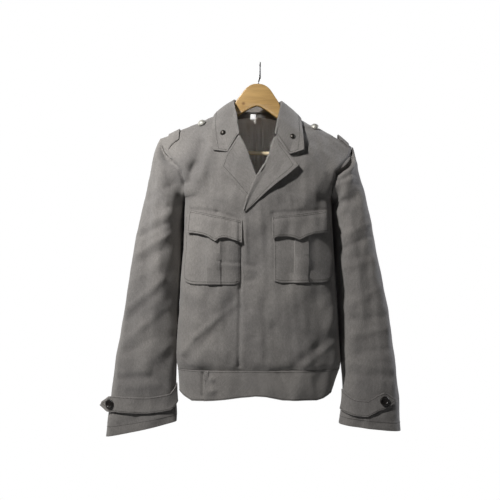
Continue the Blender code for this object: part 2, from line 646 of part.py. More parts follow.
def band_grid(columns, rows):
    """Grid of the outer side of the waistband, from its under end round the back to its lapped end."""
    front, back = body_row(0, "front_right"), body_row(0, "back")
    start = np.interp(BAND_UNDER_END_X, front[:, 0], run_of(front))
    stop = np.interp(BAND_OVER_END_X, front[:, 0], run_of(front))
    first = at_run(front, np.linspace(start, 0, 40))
    last = at_run(front, np.linspace(run_of(front)[-1], stop, 60))
    path = np.concatenate([first, back[1:-1], last])
    total = run_of(path)[-1]
    over_from = total - run_of(last)[-1]
    places = np.linspace(0, total, columns + 1)
    places = np.concatenate([places[:-1], [total - BAND_CORNER, total - BAND_CORNER * 0.3, total]])
    grid = []
    for v in np.linspace(0, 1, rows + 1):
        line = at_run(path, places)
        for i, place in enumerate(places):
            x, y = line[i, 0], line[i, 1]
            lap = BAND_LAP * ease(LAP_FROM, LAP_TO, x) if place > over_from else 0.0
            front_z = np.interp(x, *np.array(BAND_FRONT_EDGE).T)
            low_z = front_z + (BAND_BACK_Z - front_z) * ease(-20, 20, y)
            from_end = (total - place) / BAND_CORNER
            corner = BAND_CORNER * (1 - math.sqrt(max(0.0, 1 - (1 - min(from_end, 1)) ** 2))) * 0.8
            top_z = BAND_TOP - corner
            tuck = 1 + (BAND_TUCK - 1) * (1 - v)
            line[i] = ((x - BAND_TUCK_X) * tuck + BAND_TUCK_X, (y - lap) * (1 + tuck) / 2,
                       low_z + (top_z - low_z) * v)
        grid.append(line)
    return np.array(grid)


def lining_grid(columns, rows):
    """Grid of the inner face of the lining, down the inside of the back, with soft pleats."""
    surface = Face("back")
    grid = []
    for v in np.linspace(0, 1, rows + 1):
        line = []
        for share in np.linspace(-1, 1, columns + 1):
            x = CENTRE_X + share * LINING_HALF_WIDTH * (1 - 0.42 * v ** 3)
            top = -104.0 - 4.0 * abs(share) ** 2 - (x - CENTRE_X) * TILT_PER_MM
            z = LINING_LOW_Z + (top - LINING_LOW_Z) * v
            pleat = LINING_PLEAT_DEPTH * math.cos(share * math.pi * LINING_PLEATS) * (1 - v) ** 0.5
            line.append(surface.lifted(x, z, -LINING_INSET - LINING_NECK_INSET * v ** 2 - pleat))
        grid.append(line)
    return np.array(grid)


def on_grid(grid, a, b, axes, farthest):
    """Point of a grid at the coordinates (a, b) of two axes, and its normal, both towards one way.

    axes gives the two known axes and the third; farthest is 1 or -1 along the third.
    """
    corners = grid[:-1, :-1], grid[:-1, 1:], grid[1:, 1:], grid[1:, :-1]
    triangles = np.concatenate([np.stack([corners[i] for i in pick], 2).reshape(-1, 3, 3)
                                for pick in ((0, 1, 2), (0, 2, 3))])
    flat = triangles[:, :, list(axes[:2])]
    u, v = flat[:, 1] - flat[:, 0], flat[:, 2] - flat[:, 0]
    w = np.array([a, b]) - flat[:, 0]
    area = u[:, 0] * v[:, 1] - u[:, 1] * v[:, 0]
    area = np.where(np.abs(area) < 1e-6, 1e-6, area)
    s = (w[:, 0] * v[:, 1] - w[:, 1] * v[:, 0]) / area
    t = (u[:, 0] * w[:, 1] - u[:, 1] * w[:, 0]) / area
    outside = np.maximum(-np.minimum(np.minimum(s, t), 1 - s - t), 0)
    known = triangles[:, 0] + s[:, None] * (triangles[:, 1] - triangles[:, 0])
    points = known + t[:, None] * (triangles[:, 2] - triangles[:, 0])
    best = int(np.argmax(points[:, axes[2]] * farthest - outside * 1e6))
    normal = unit(np.cross(triangles[best, 1] - triangles[best, 0], triangles[best, 2] - triangles[best, 0]))
    return points[best], normal * (1 if normal[axes[2]] * farthest > 0 else -1)


def shoulder_top(panels, x, y):
    """Point on top of the shoulder at (x, y), and its normal."""
    name = "back" if y > 2 else "front_right" if x < CENTRE_X else "front_left"
    return on_grid(panels[name], x, y, (0, 1, 2), 1)


def carrier_grid(name, panels, columns, rows):
    """Grid of the outer side of a strap carrier, over the top of the shoulder panels."""
    x, width, rise_in, rise_out, front_y, back_y = CARRIERS[name]
    toward_neck = 1.0 if x < CENTRE_X else -1.0
    grid = []
    for share in np.linspace(-1, 1, rows + 1):
        line = []
        for t in np.linspace(0, 1, columns + 1):
            y = front_y + (back_y - front_y) * t
            here = shoulder_top(panels, x + share * toward_neck * width / 2, y)[0]
            rise = (rise_out + (rise_in - rise_out) * (share + 1) / 2) * math.sin(math.pi * t) ** 0.8
            lean = unit(np.array([toward_neck * 0.25, (y - 2) / 60, 1.0]))
            line.append(here + lean * (REST + CARRIER_CLOTH + 0.8 + rise))
        grid.append(line)
    return np.array(grid)


def hook_points(step):
    """Centre line of the wire hook, its curve in steps of so many degrees."""
    top = HOOK_WIRE - HOOK_RADIUS
    points = []
    for degrees in range(-60, 181, step):
        a = math.radians(degrees)
        points.append((0.0, -HOOK_RADIUS * math.cos(a), top + HOOK_RADIUS * math.sin(a)))
    return points + [(-0.5, HOOK_RADIUS * 0.8, top - 8.5), (-1.5, HOOK_RADIUS * 0.3, top - 15.5),
                     (-2.5, 0.0, top - 21.5), (-4.0, 0.0, -42.8)]


def srgb(code):
    """Linear colour of an sRGB hex code."""
    parts = [int(code[i:i + 2], 16) / 255 for i in (1, 3, 5)]
    return tuple(p / 12.92 if p <= 0.04045 else ((p + 0.055) / 1.055) ** 2.4 for p in parts) + (1.0,)


FINISHES = {
    "wool": ("#85807C", 0.92, 0.0),
    "lining": ("#4A4441", 0.45, 0.0),
    "label": ("#E8E6DF", 0.8, 0.0),
    "beech": ("#C9995E", 0.5, 0.0),
    "steel": ("#8A8A88", 0.3, 1.0),
    "pewter": ("#C9C9C2", 0.35, 1.0),
    "dark_horn": ("#1E1C1B", 0.4, 0.0),
    "stud": ("#4A4846", 0.4, 1.0),
}


def finish(name):
    """Material of a named finish, made once."""
    material = bpy.data.materials.get(name)
    if material is None:
        colour, roughness, metallic = FINISHES[name]
        material = bpy.data.materials.new(name)
        material.use_nodes = True
        shader = material.node_tree.nodes["Principled BSDF"]
        shader.inputs["Base Color"].default_value = srgb(colour)
        shader.inputs["Roughness"].default_value = roughness
        shader.inputs["Metallic"].default_value = metallic
    return material


def clear_scene():
    """Empty scene with the tunic's collection."""
    for item in list(bpy.data.objects):
        bpy.data.objects.remove(item, do_unlink=True)
    group = bpy.data.collections.new(COLLECTION)
    bpy.context.scene.collection.children.link(group)
    return group


def add_object(name, mesh, finish_name):
    """Object of a mesh in the tunic's collection, with its finish."""
    item = bpy.data.objects.new(name, mesh)
    mesh.materials.append(finish(finish_name))
    bpy.data.collections[COLLECTION].objects.link(item)
    return item


def cloth_sheet(name, grid, thickness, finish_name, inside, closed=False):
    """Wall of cloth on a grid of points of its outer side, thickened towards the point inside."""
    rows, columns = grid.shape[:2]
    mesh = bpy.data.meshes.new(name)
    shape = bmesh.new()
    verts = [[shape.verts.new(p * MM) for p in line] for line in grid]
    for i in range(rows - 1):
        for j in range(columns if closed else columns - 1):
            k = (j + 1) % columns
            shape.faces.new((verts[i][j], verts[i][k], verts[i + 1][k], verts[i + 1][j]))
    shape.normal_update()
    inside = np.array(inside) * MM
    facing = sum(face.calc_area() * float(np.dot(face.normal, np.array(face.calc_center_median()) - inside))
                 for face in shape.faces)
    if facing < 0:
        bmesh.ops.reverse_faces(shape, faces=shape.faces[:])
    shape.to_mesh(mesh)
    shape.free()
    item = add_object(name, mesh, finish_name)
    wall = item.modifiers.new("wall", "SOLIDIFY")
    wall.thickness = thickness * MM
    wall.offset = -1
    mesh.shade_smooth()
    return item


def turned(name, profile, place, normal, finish_name, steps):
    """Turned piece, its profile in (radius, height), set with its flat back at a place."""
    mesh = bpy.data.meshes.new(name)
    shape = bmesh.new()
    verts = [shape.verts.new((r * MM, 0, h * MM)) for r, h in profile]
    edges = [shape.edges.new(pair) for pair in zip(verts, verts[1:])]
    bmesh.ops.spin(shape, geom=verts + edges, axis=(0, 0, 1), cent=(0, 0, 0),
                   angle=2 * math.pi, steps=steps, use_merge=True)
    bmesh.ops.remove_doubles(shape, verts=shape.verts[:], dist=1e-6)
    bmesh.ops.recalc_face_normals(shape, faces=shape.faces[:])
    shape.to_mesh(mesh)
    shape.free()
    mesh.shade_smooth()
    item = add_object(name, mesh, finish_name)
    z = unit(np.array(normal, float))
    x = unit(np.cross((0.0, 0.0, 1.0) if abs(z[2]) < 0.9 else (1.0, 0.0, 0.0), z))
    y = np.cross(z, x)
    turn = [[x[i], y[i], z[i], place[i] * MM] for i in range(3)] + [[0, 0, 0, 1]]
    item.matrix_world = turn_matrix(turn)
    return item


def turn_matrix(rows):
    """Blender matrix of four rows."""
    return Matrix([[float(v) for v in row] for row in rows])


def hanger_point(x, z):
    """Point of the level hanger turned with the shoulders, in the XZ plane."""
    c, s = math.cos(HANGER_TILT), math.sin(HANGER_TILT)
    return HANGER_X + x * c + (z - HOOK_STEM_FOOT) * s, HOOK_STEM_FOOT - x * s + (z - HOOK_STEM_FOOT) * c


def make_hanger():
    """Wooden hanger with a trouser bar between its ends, and a wire hook turned a quarter."""
    outline = [(x, z) for x, z in WOOD_TOP] + list(WOOD_BOTTOM)
    outline += [(-x, z) for x, z in reversed(WOOD_BOTTOM[:-1])] + [(-x, z) for x, z in reversed(WOOD_TOP[1:])]
    shape = bmesh.new()
    verts = []
    for x, z in outline:
        px, pz = hanger_point(x, z)
        verts.append(shape.verts.new((px * MM, -WOOD_THICK / 2 * MM, pz * MM)))
    front = shape.faces.new(verts)
    moved = bmesh.ops.extrude_face_region(shape, geom=[front])
    bmesh.ops.translate(shape, vec=(0, WOOD_THICK * MM, 0),
                        verts=[v for v in moved["geom"] if isinstance(v, bmesh.types.BMVert)])
    bmesh.ops.recalc_face_normals(shape, faces=shape.faces[:])
    mesh = bpy.data.meshes.new("hanger_wood")
    shape.to_mesh(mesh)
    shape.free()
    wood = add_object("hanger_wood", mesh, "beech")
    bevel = wood.modifiers.new("edge", "BEVEL")
    bevel.width = WOOD_EDGE * MM
    bevel.segments = 1
    bevel.limit_method = "ANGLE"
    bevel.angle_limit = math.radians(50)

    bpy.ops.mesh.primitive_cylinder_add(vertices=12, radius=BAR_RADIUS * MM, depth=2 * BAR_HALF * MM)
    bar = bpy.context.object
    px, pz = hanger_point(0, BAR_Z)
    bar.location = (px * MM, 0, pz * MM)
    bar.rotation_euler = (0, math.pi / 2 + HANGER_TILT, 0)
    settle(bar, "hanger_bar", "beech")
    make_hook()


def settle(item, name, finish_name):
    """Name a primitive, give it its finish and move it to the tunic's collection."""
    item.name = item.data.name = name
    item.data.materials.append(finish(finish_name))
    for group in list(item.users_collection):
        group.objects.unlink(item)
    bpy.data.collections[COLLECTION].objects.link(item)
    item.data.shade_smooth()
    item.data.set_sharp_from_angle(angle=math.radians(40))


def make_hook():
    """Wire hook in the YZ plane, with its crown's inner side at the origin."""
    points = hook_points(15)
    curve = bpy.data.curves.new("hanger_hook", "CURVE")
    curve.dimensions = "3D"
    curve.bevel_depth = HOOK_WIRE * MM
    curve.bevel_resolution = 1
    curve.use_fill_caps = True
    spline = curve.splines.new("POLY")
    spline.points.add(len(points) - 1)
    for slot, point in zip(spline.points, points):
        slot.co = (point[0] * MM, point[1] * MM, point[2] * MM, 1)
    item = bpy.data.objects.new("hanger_hook", curve)
    curve.materials.append(finish("steel"))
    bpy.data.collections[COLLECTION].objects.link(item)


def make_body():
    """Back, fronts, lining and neck label."""
    inside = (CENTRE_X, 0, -400)
    panels = {name: front_panel(name, 8, 8, 14) for name in ("front_right", "front_left")}
    panels["back"] = back_panel(8, 8, 22)
    for name, grid in panels.items():
        cloth_sheet(name, grid, CLOTH, "wool", inside)
    lining = lining_grid(16, 8)
    cloth_sheet("back_lining", lining, LINING, "lining", (CENTRE_X, 400, -200))
    bpy.ops.mesh.primitive_cube_add(size=1.0)
    label = bpy.context.object
    here, normal = on_grid(lining, LABEL_X, LABEL_Z, (0, 2, 1), -1)
    label.data.transform(turn_matrix(np.diag([LABEL_SIZE * MM, LABEL_THICK * MM, LABEL_SIZE * MM, 1])))
    label.location = tuple((here + normal * (LABEL_THICK / 2 + 0.7)) * MM)
    label.rotation_euler = (-math.atan2(normal[2], -normal[1]), 0, 0)
    settle(label, "neck_label", "label")
    return panels


def make_collar(faces):
    """Lapels, collar and its studs."""
    for name, front in (("lapel_right", "front_right"), ("lapel_left", "front_left")):
        cloth_sheet(name, lapel_grid(name, faces[front], 9, (1, 4, 6)), FACING, "wool", (CENTRE_X, 300, -250))
    stations = np.linspace(-1, 1, 25)
    grid = collar_grid(stations, (2, 4, 5))
    cloth_sheet("collar", grid, FACING, "wool", (CENTRE_X, 0, -190))
    for name, (x, z) in COLLAR_STUD_PLACE.items():
        here, normal = on_grid(grid, x, z, (0, 2, 1), -1)
        turned(name, COLLAR_STUD, here + normal * 1.3, normal, "stud", 12)


def make_sleeves():
    """Sleeves, cuff tabs and their buttons."""
    around = np.linspace(0, 1, 23)[:-1]
    levels = np.concatenate([[0, 1], np.linspace(1, 10, 15)[1:]])
    for name in SLEEVES:
        grid = sleeve_surface(name, around, levels)
        side = -1 if name == "sleeve_right" else 1
        cloth_sheet(name, grid, CLOTH, "wool", (side * 215, 0, -400), closed=True)
    for name in CUFF_TABS:
        side = -1 if name == "cuff_tab_right" else 1
        grid = tab_grid(name, 12, 3)
        cloth_sheet(name, grid, TAB_CLOTH, "wool", (side * 235, 300, -720))
        button = name.replace("tab", "button")
        i = int(CUFF_BUTTON_PLACE[button] * 12)
        middle = (grid[1, i] + grid[2, i]) / 2
        normal = unit(np.cross(grid[1, i + 1] - grid[1, i - 1], grid[2, i] - grid[1, i]))
        normal = normal if normal[1] < 0 else -normal
        turned(button, CUFF_BUTTON, middle + normal * 0.8, normal, "dark_horn", 16)


def make_pockets(faces):
    """Patch pockets and their flaps."""
    for side in POCKETS:
        surface = faces["front_" + side]
        cloth_sheet("pocket_" + side, pocket_grid(side, surface, 8), POCKET_CLOTH, "wool", (CENTRE_X, 0, -400))
        cloth_sheet("pocket_flap_" + side, flap_grid(side, surface, 8, 4), CLOTH, "wool",
                    (CENTRE_X, 0, -400))


def make_shoulder_trim(panels):
    """Buttons and strap carriers on the shoulders."""
    panels = {name: grid[9:] for name, grid in panels.items()}
    for name, x in SHOULDER_BUTTON_X.items():
        here, normal = shoulder_top(panels, x, SHOULDER_BUTTON_Y)
        turned(name, SHOULDER_BUTTON, here + normal * 0.9, normal, "pewter", 16)
    for name in CARRIERS:
        cloth_sheet(name, carrier_grid(name, panels, 8, 3), CARRIER_CLOTH, "wool", (CARRIERS[name][0], 2, -260))


def main():
    clear_scene()
    faces = {name: Face(name) for name in ("back", "front_right", "front_left")}
    panels = make_body()
    make_collar(faces)
    make_sleeves()
    make_pockets(faces)
    cloth_sheet("waistband", band_grid(52, 3), CLOTH, "wool", (CENTRE_X, 0, -680))
    make_shoulder_trim(panels)
    make_hanger()


main()
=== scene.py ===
"""Military tunic on a wooden hanger: cloth, sewing, buttons, hanger and a photo stage."""
import functools
import math

import bmesh
import bpy
import numpy as np
from mathutils import Matrix


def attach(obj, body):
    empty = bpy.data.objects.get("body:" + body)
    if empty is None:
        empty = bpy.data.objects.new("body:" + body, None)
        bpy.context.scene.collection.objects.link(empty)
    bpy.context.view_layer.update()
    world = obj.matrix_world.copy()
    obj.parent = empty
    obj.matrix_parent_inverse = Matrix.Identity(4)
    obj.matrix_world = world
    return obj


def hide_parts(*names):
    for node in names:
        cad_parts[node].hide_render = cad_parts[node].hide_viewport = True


bl_info = {
    "name": "Military tunic on a hanger",
    "version": (1, 0, 0),
    "blender": (4, 5, 0),
    "location": "View3D > Sidebar > Tunic",
    "description": "Builds a short grey wool tunic with its sewing and buttons, hanging on a wooden hanger",
    "category": "Add Mesh",
}

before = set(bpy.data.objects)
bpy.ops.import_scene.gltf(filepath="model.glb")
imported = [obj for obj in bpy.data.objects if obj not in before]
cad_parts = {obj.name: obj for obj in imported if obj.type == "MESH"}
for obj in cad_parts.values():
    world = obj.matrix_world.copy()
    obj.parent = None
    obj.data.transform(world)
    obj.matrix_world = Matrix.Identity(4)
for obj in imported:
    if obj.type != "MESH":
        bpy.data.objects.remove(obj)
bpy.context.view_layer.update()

MM = 0.001

# Cloth and seams
CLOTH = 2.0
FACING = 2.2
LINING = 1.0
SEAM = 0.3
REST = 0.9
CENTRE_X = -4.0
SHOULDER_ROUND = 0.25
NARROW = 3.0
SIDE_SEAM_Y = -12.0

# The body from the waist seam up to the shoulder seam, seen as level rows below the armpit.
# Above it the side of a row runs up the armhole and its middle up to the neck.
BODY_COLUMNS = ("half_width", "side_z", "front_side_y", "back_side_y", "front_y", "back_y",
                "front_z", "back_z", "fullness", "tilt", "shift")
BODY = (
    (172.5, -650.0, -12, -12, -75.0, 75, -650, -650, 2.5, 0, 1.5),
    (174.0, -632.0, -12, -12, -83.0, 82, -632, -632, 2.6, 0, 1),
    (172.0, -590.0, -12, -12, -88.0, 87, -590, -590, 2.7, 0, 0),
    (167.5, -510.0, -12, -12, -93.0, 92, -510, -510, 2.8, 0, 0),
    (161.5, -430.0, -12, -12, -97.0, 95, -430, -430, 2.9, 0, 0),
    (157.5, -355.0, -12, -12, -100.5, 97, -355, -355, 2.9, 0, 0),
    (155.5, -300.0, -12, -12, -101.5, 97, -302, -302, 2.7, 0, 0),
    (154.0, -285.0, -46, 40, -99.0, 97, -275, -272, 2.1, 2.0, 0),
    (155.5, -261.0, -58, 58, -95.0, 95, -244, -238, 1.9, 3.5, 0),
    (165.0, -234.0, -54, 58, -88.0, 89, -209, -196, 1.75, 5.0, 0),
    (186.0, -217.0, -40, 50, -76.0, 78, -160, -145, 1.6, 6.0, -1),
    (199.5, -197.0, -21, 34, -55.0, 60, -128, -101, 1.5, 7.0, -2),
    (204.0, -179.0, -9, 16, -32.0, 38, -108.5, -92.5, 1.4, 8.0, -2.5),
    (204.8, -171.9, -2, 6, -11.0, 15, -92.2, -91, 1.3, 8.4, -2.9),
    (205.0, -171.5, 1.5, 2.5, 1.5, 2.5, -91, -90.8, 1.3, 8.5, -3),
)
ARMPIT = 6
SHOULDER = 14
OUTLINE_STEPS = 60

# Hollow of the back at the neck, in levels down from the shoulder seam
NECK_HALF = 64.0
NECK_DROP = 2.75
NECK_LEVEL = 9.0

# Large soft folds, as ridges (or troughs, where the height is below 0) between two points
# Columns: x0, z0, x1, z1, width, height
FRONT_FOLDS = (
    (-124, -178, -140, -232, 11, -7.0),
    (-140, -232, -150, -262, 12, -6.0),
    (-104, -185, -116, -250, 14, 3.0),
    (-60, -500, -40, -640, 26, -3.0),
    (70, -500, 85, -640, 30, 3.0),
    (118, -500, 128, -640, 20, -3.5),
    (-128, -500, -134, -640, 18, 3.0),
)
BACK_FOLDS = (
    (-80, -210, -95, -420, 26, -4.0),
    (84, -220, 100, -440, 28, -4.0),
    (-30, -400, -36, -640, 24, 3.0),
    (48, -420, 60, -640, 26, -3.0),
    (-118, -470, -122, -640, 20, -3.5),
)

# Front edges, as (x, z) points seen from the front, from the waist seam up to the neck
UNDER_EDGE = ((12, -660), (12, -312), (-10.5, -252), (-26.7, -205), (-46, -164), (-57, -133),
              (-67, -104), (-71, -94))
OVER_EDGE = ((-36, -660), (-33, -500), (-30, -455), (-33, -395), (-37, -337), (-26, -296),
             (-6, -250.5), (9, -228), (19, -208), (29.5, -172), (35, -155), (46, -131), (59, -108), (63, -99))
LAP_LIFT = 3.0
LAP_EXTRA = 3.4
LAP_DIP = 2.8
LAP_FROM, LAP_TO = 74.0, 26.0
LAP_FADE_LOW, LAP_FADE_HIGH = -235.0, -180.0
LAP_EXTRA_Z, LAP_EXTRA_SPAN = -272.0, 42.0
DIP_FROM, DIP_TO = -72.0, -22.0

# Lapels: corners as (x, z) seen from the front. The notch bends the top edge.
# Columns: roll low, roll high, hem low, tip, notch, radius, rest, stand off
LAPELS = {
    "lapel_right": ((2.0, -281.0), (-35.5, -166.0), (-8.0, -314.0), (-83.0, -232.5), (-69.5, -203.5),
                    2.5, 1.2, 0.8),
    "lapel_left": ((-35.5, -318.5), (28.0, -168.5), (-30.5, -322.5), (75.0, -231.0), (59.0, -207.8),
                   2.5, 1.2, 9.0),
}
LAPEL_BOW = {"lapel_right": 0.0, "lapel_left": 2.6}

# Half of the collar, from the gorge at the front to the centre of the back.
# x is the distance out from the centre, and each rail is a point on the visible side.
# Columns: seam x, seam y, seam z, fold x, fold y, fold z, edge x, edge y, edge z
COLLAR = (
    (40.0, -71.5, -160.0, 38.5, -80.5, -160.0, 94.0, -79.5, -193.5),
    (52.0, -48.0, -130.0, 44.5, -44.0, -118.0, 96.0, -59.8, -154.5),
    (62.0, -3.0, -104.0, 49.0, -4.0, -83.0, 94.0, 0.0, -113.2),
    (53.0, 33.0, -102.0, 43.0, 36.0, -76.0, 85.0, 54.0, -118.0),
    (30.0, 46.0, -99.0, 26.0, 52.0, -70.5, 50.0, 72.0, -115.5),
    (0.0, 50.5, -97.0, 0.0, 56.0, -69.0, 0.0, 77.0, -114.5),
)
# How much nearer the centre the wearer's left half lies, for each row above
COLLAR_LEFT_SHIFT = ((6.0, 6.0, 0.0), (4.0, 4.0, 3.0), (1.5, 1.5, 2.0), (0, 0, 0), (0, 0, 0), (0, 0, 0))
COLLAR_NOTCHES = {-1.0: (-68.0, -199.0), 1.0: (60.0, -203.5)}
# How much further the edge of the wearer's left leaf stands off, for each row above
COLLAR_LEFT_STANDS_OFF = (5.0, 4.0, 1.0, 0.0, 0.0, 0.0)
COLLAR_RADIUS = 2.6
COLLAR_CROWN = 2.0
COLLAR_SPRING = 4.0
TILT_PER_MM = 8.5 / 205

# Sleeves from the head down to the cuff. outer and inner are the sides seen from the front.
# Columns: outer x, outer z, inner x, inner z, front y, back y, fullness
SLEEVES = {
    "sleeve_right": (
        (-226.0, -191, -160.8, -305, -62, 68, 2.1),
        (-236.5, -242, -161.1, -318, -62, 80, 2.1),
        (-249.0, -293, -162.0, -338, -61, 85, 2.1),
        (-261.5, -350, -163.5, -366, -60, 83, 2.15),
        (-269.5, -397, -165.5, -402, -58, 79, 2.2),
        (-286.5, -500, -172.4, -500, -52, 68, 2.2),
        (-303.5, -603, -177.8, -602, -46, 54, 2.25),
        (-318.5, -706, -179.0, -700, -44, 30, 2.3),
        (-328.0, -797, -178.0, -764, -44, 10, 2.4),
    ),
    "sleeve_left": (
        (206.5, -206, 152.8, -306, -62, 68, 2.1),
        (215.0, -248, 153.0, -318, -62, 80, 2.1),
        (228.0, -293, 154.0, -338, -62, 86, 2.1),
        (239.5, -350, 155.4, -366, -61, 84, 2.15),
        (249.0, -397, 157.4, -402, -59, 80, 2.2),
        (269.0, -500, 164.6, -500, -54, 70, 2.2),
        (286.0, -603, 170.0, -602, -50, 58, 2.25),
        (295.0, -706, 177.0, -700, -50, 36, 2.3),
        (299.5, -784, 168.0, -769, -50, 18, 2.4),
    ),
}
SLEEVE_LEAVES = (0.8, 0.0, -0.6)
SLEEVE_HEAD_EDGE = 3.5
# Folds on a sleeve, from the head of the sleeve: around is in turns from the outer side by the front
# Columns: around0, level0, around1, level1, width, height
SLEEVE_FOLDS = {
    "sleeve_right": (
        (0.14, 3.2, 0.20, 6.4, 0.045, -5.0),
        (0.30, 4.2, 0.26, 8.4, 0.05, 4.0),
        (0.08, 5.5, 0.12, 9.0, 0.04, 3.5),
        (0.62, 4.0, 0.68, 8.0, 0.05, -5.0),
        (0.86, 3.5, 0.82, 8.0, 0.05, -4.0),
    ),
    "sleeve_left": (
        (0.36, 3.0, 0.20, 3.6, 0.035, -5.0),
        (0.22, 4.6, 0.28, 8.6, 0.05, -4.5),
        (0.10, 5.0, 0.13, 9.2, 0.045, 3.5),
        (0.64, 4.0, 0.70, 8.4, 0.05, -5.0),
        (0.85, 3.6, 0.83, 8.0, 0.05, 4.0),
    ),
}

# Waistband: its heights and its lapped end
BAND_TOP = -650.9
# Lower edge of the band on the front, as (x, z) points; the back is level
BAND_FRONT_EDGE = ((-172, -700), (-166, -706), (-145, -716), (-93, -713.5), (-3, -704), (21, -705), (57, -712),
                   (135, -716), (150, -712), (165, -704))
BAND_BACK_Z = -712.0
BAND_UNDER_END_X = 24.0
BAND_OVER_END_X = -117.0
BAND_LAP = 3.4
BAND_TUCK, BAND_TUCK_X = 0.936, -127.0
BAND_CORNER = 8.0

# Breast pockets: across is measured on the cloth from the centre line. Right is the wearer's.
# Columns: inner, outer, top inner, top outer, bottom, pleat from, pleat to, flap inner, flap outer, rest
POCKETS = {
    "right": (-37.0, -161.0, -351.0, -327.0, -472.0, -76.0, -106.0, -34.0, -148.5, 1.5),
    "left": (31.0, 160.0, -344.0, -328.5, -468.0, 72.5, 104.0, 27.5, 147.5, 1.2),
}
POCKET_CLOTH = 1.6
POCKET_CORNER, POCKET_CORNER_RISE = 8.0, 4.0
POCKET_OUTER_CORNER, POCKET_OUTER_RISE = 30.0, 14.0
PLEAT_RISE = 2.0
# Drop of a flap's lower edge below its sewn edge, across the flap from the inner end
FLAP_SCALLOPS = {
    "right": ((0.0, 46.0), (0.1, 44.2), (0.26, 42.2), (0.33, 43.5), (0.4, 47.5), (0.455, 55.0), (0.52, 51.5),
              (0.58, 48.2), (0.66, 46.5), (0.78, 46.2), (0.9, 47.0), (1.0, 49.5)),
    "left": ((0.0, 44.7), (0.1, 42.4), (0.2, 43.5), (0.3, 45.7), (0.39, 50.0), (0.457, 54.5), (0.53, 51.5),
             (0.6, 48.4), (0.7, 46.0), (0.8, 45.6), (0.9, 46.0), (1.0, 46.5)),
}
FLAP_SEWN_ABOVE = 11.0
FLAP_SPREADS = {"right": 3.4, "left": 2.6}
FLAP_RISE = 3.2

# Cuff tabs: along is from 0 where the tab leaves the seam to 1 at its point
# Columns: along, around, upper z, lower z
CUFF_TABS = {
    "cuff_tab_right": ((0.0, 0.47, -683, -722), (0.25, 0.40, -704, -738), (0.5, 0.27, -711, -744),
                       (0.8, 0.12, -709, -742), (0.9, 0.12, -710, -741), (1.0, 0.12, -722, -727)),
    "cuff_tab_left": ((0.0, 0.464, -696, -737), (0.3, 0.343, -715, -748), (0.52, 0.269, -717, -750),
                      (0.65, 0.231, -705, -738), (0.82, 0.191, -699, -732.5), (1.0, 0.118, -714, -718)),
}
TAB_CLOTH = 1.8
TAB_SPREAD = 2.6
# How far a tab runs straight on where it leaves the sleeve
TAB_LEAVES = {"cuff_tab_right": 37.0, "cuff_tab_left": 0.0}

# Buttons and studs: radius and height out from a flat back, as points on a turned profile
SHOULDER_BUTTON = ((0.0, 8.4), (3.6, 7.9), (6.6, 6.0), (8.5, 3.2), (9.0, 1.7), (8.2, 0.6), (3.0, 0.0), (0.0, 0.0))
COLLAR_STUD = ((0.0, 4.0), (2.4, 3.6), (4.4, 2.4), (5.8, 0.9), (5.8, 0.0), (0.0, 0.0))
CUFF_BUTTON_PLACE = {"cuff_button_right": 0.86, "cuff_button_left": 0.80}
SHOULDER_BUTTON_X = {"shoulder_button_right": -123.5, "shoulder_button_left": 116.5}
SHOULDER_BUTTON_Y = -16.0
COLLAR_STUD_PLACE = {"collar_stud_right": (-77.5, -158.0), "collar_stud_left": (66.5, -166.0)}

# Shoulder-strap carriers, from the front end over the shoulder to the back end
# Columns: x, width, rise in, rise out, front y, back y
CARRIERS = {"carrier_right": (-185.0, 24.0, 1.0, 1.0, -28.0, 10.0),
            "carrier_left": (181.0, 21.0, 9.0, 1.5, -14.0, 22.0)}
CARRIER_CLOTH = 1.8

# Lining down the inside of the back, and the label on it
LINING_HALF_WIDTH = 78.0
LINING_LOW_Z = -330.0
LINING_INSET = 5.5
LINING_NECK_INSET = 4.0
LINING_PLEATS = 5
LINING_PLEAT_DEPTH = 1.6
LABEL_X, LABEL_Z, LABEL_SIZE, LABEL_THICK = -15.0, -107.0, 11.5, 0.6

# Hanger, drawn level about its centre and turned with the shoulders. Half of the wooden outline.
WOOD_TOP = ((0, -44), (9, -44.7), (17, -47.8), (24, -53), (30, -60), (35.5, -68), (40.5, -75), (45, -81),
            (49.2, -89.5), (53, -101), (58, -112),
            (66, -118.5), (80, -123.5), (97, -126.5), (131, -140.2), (166, -157.4), (188, -170.5))
WOOD_BOTTOM = ((197, -184), (198, -196), (194, -202), (182, -202), (182, -187), (160, -181), (131, -167),
               (97, -149), (64, -131), (41, -115.5), (20, -101), (0, -91))
WOOD_THICK = 12.0
WOOD_EDGE = 2.5
HANGER_X = -4.0
HANGER_TILT = math.radians(2.3)
HOOK_WIRE = 1.5
HOOK_RADIUS = 19.0
HOOK_STEM_FOOT = -46.0


def smooth_rows(table, t):
    """Rows of the table at the row numbers t, on a smooth curve through its rows."""
    rows = np.asarray(table, float)
    t = np.atleast_1d(np.asarray(t, float))
    slopes = np.gradient(rows, axis=0)
    k = np.clip(t.astype(int), 0, len(rows) - 2)
    f = (t - k).reshape((-1,) + (1,) * (rows.ndim - 1))
    rise = f * f * (3 - 2 * f)
    bend = slopes[k] * f * (1 - f) ** 2 + slopes[k + 1] * f * f * (f - 1)
    return rows[k] * (1 - rise) + rows[k + 1] * rise + bend


def ease(start, stop, value):
    """0 at start, 1 at stop, with soft ends."""
    f = np.clip((value - start) / (stop - start), 0, 1)
    return f * f * (3 - 2 * f)


def run_of(points):
    """Distance along a polyline at each of its points."""
    steps = np.linalg.norm(np.diff(points, axis=0), axis=1)
    return np.concatenate([[0.0], np.cumsum(steps)])


def at_run(points, places):
    """Points at the given distances along a polyline."""
    run = run_of(points)
    return np.stack([np.interp(places, run, points[:, i]) for i in range(points.shape[1])], -1)


def unit(vector):
    """Vectors of length 1."""
    return vector / np.maximum(np.linalg.norm(vector, axis=-1, keepdims=True), 1e-9)


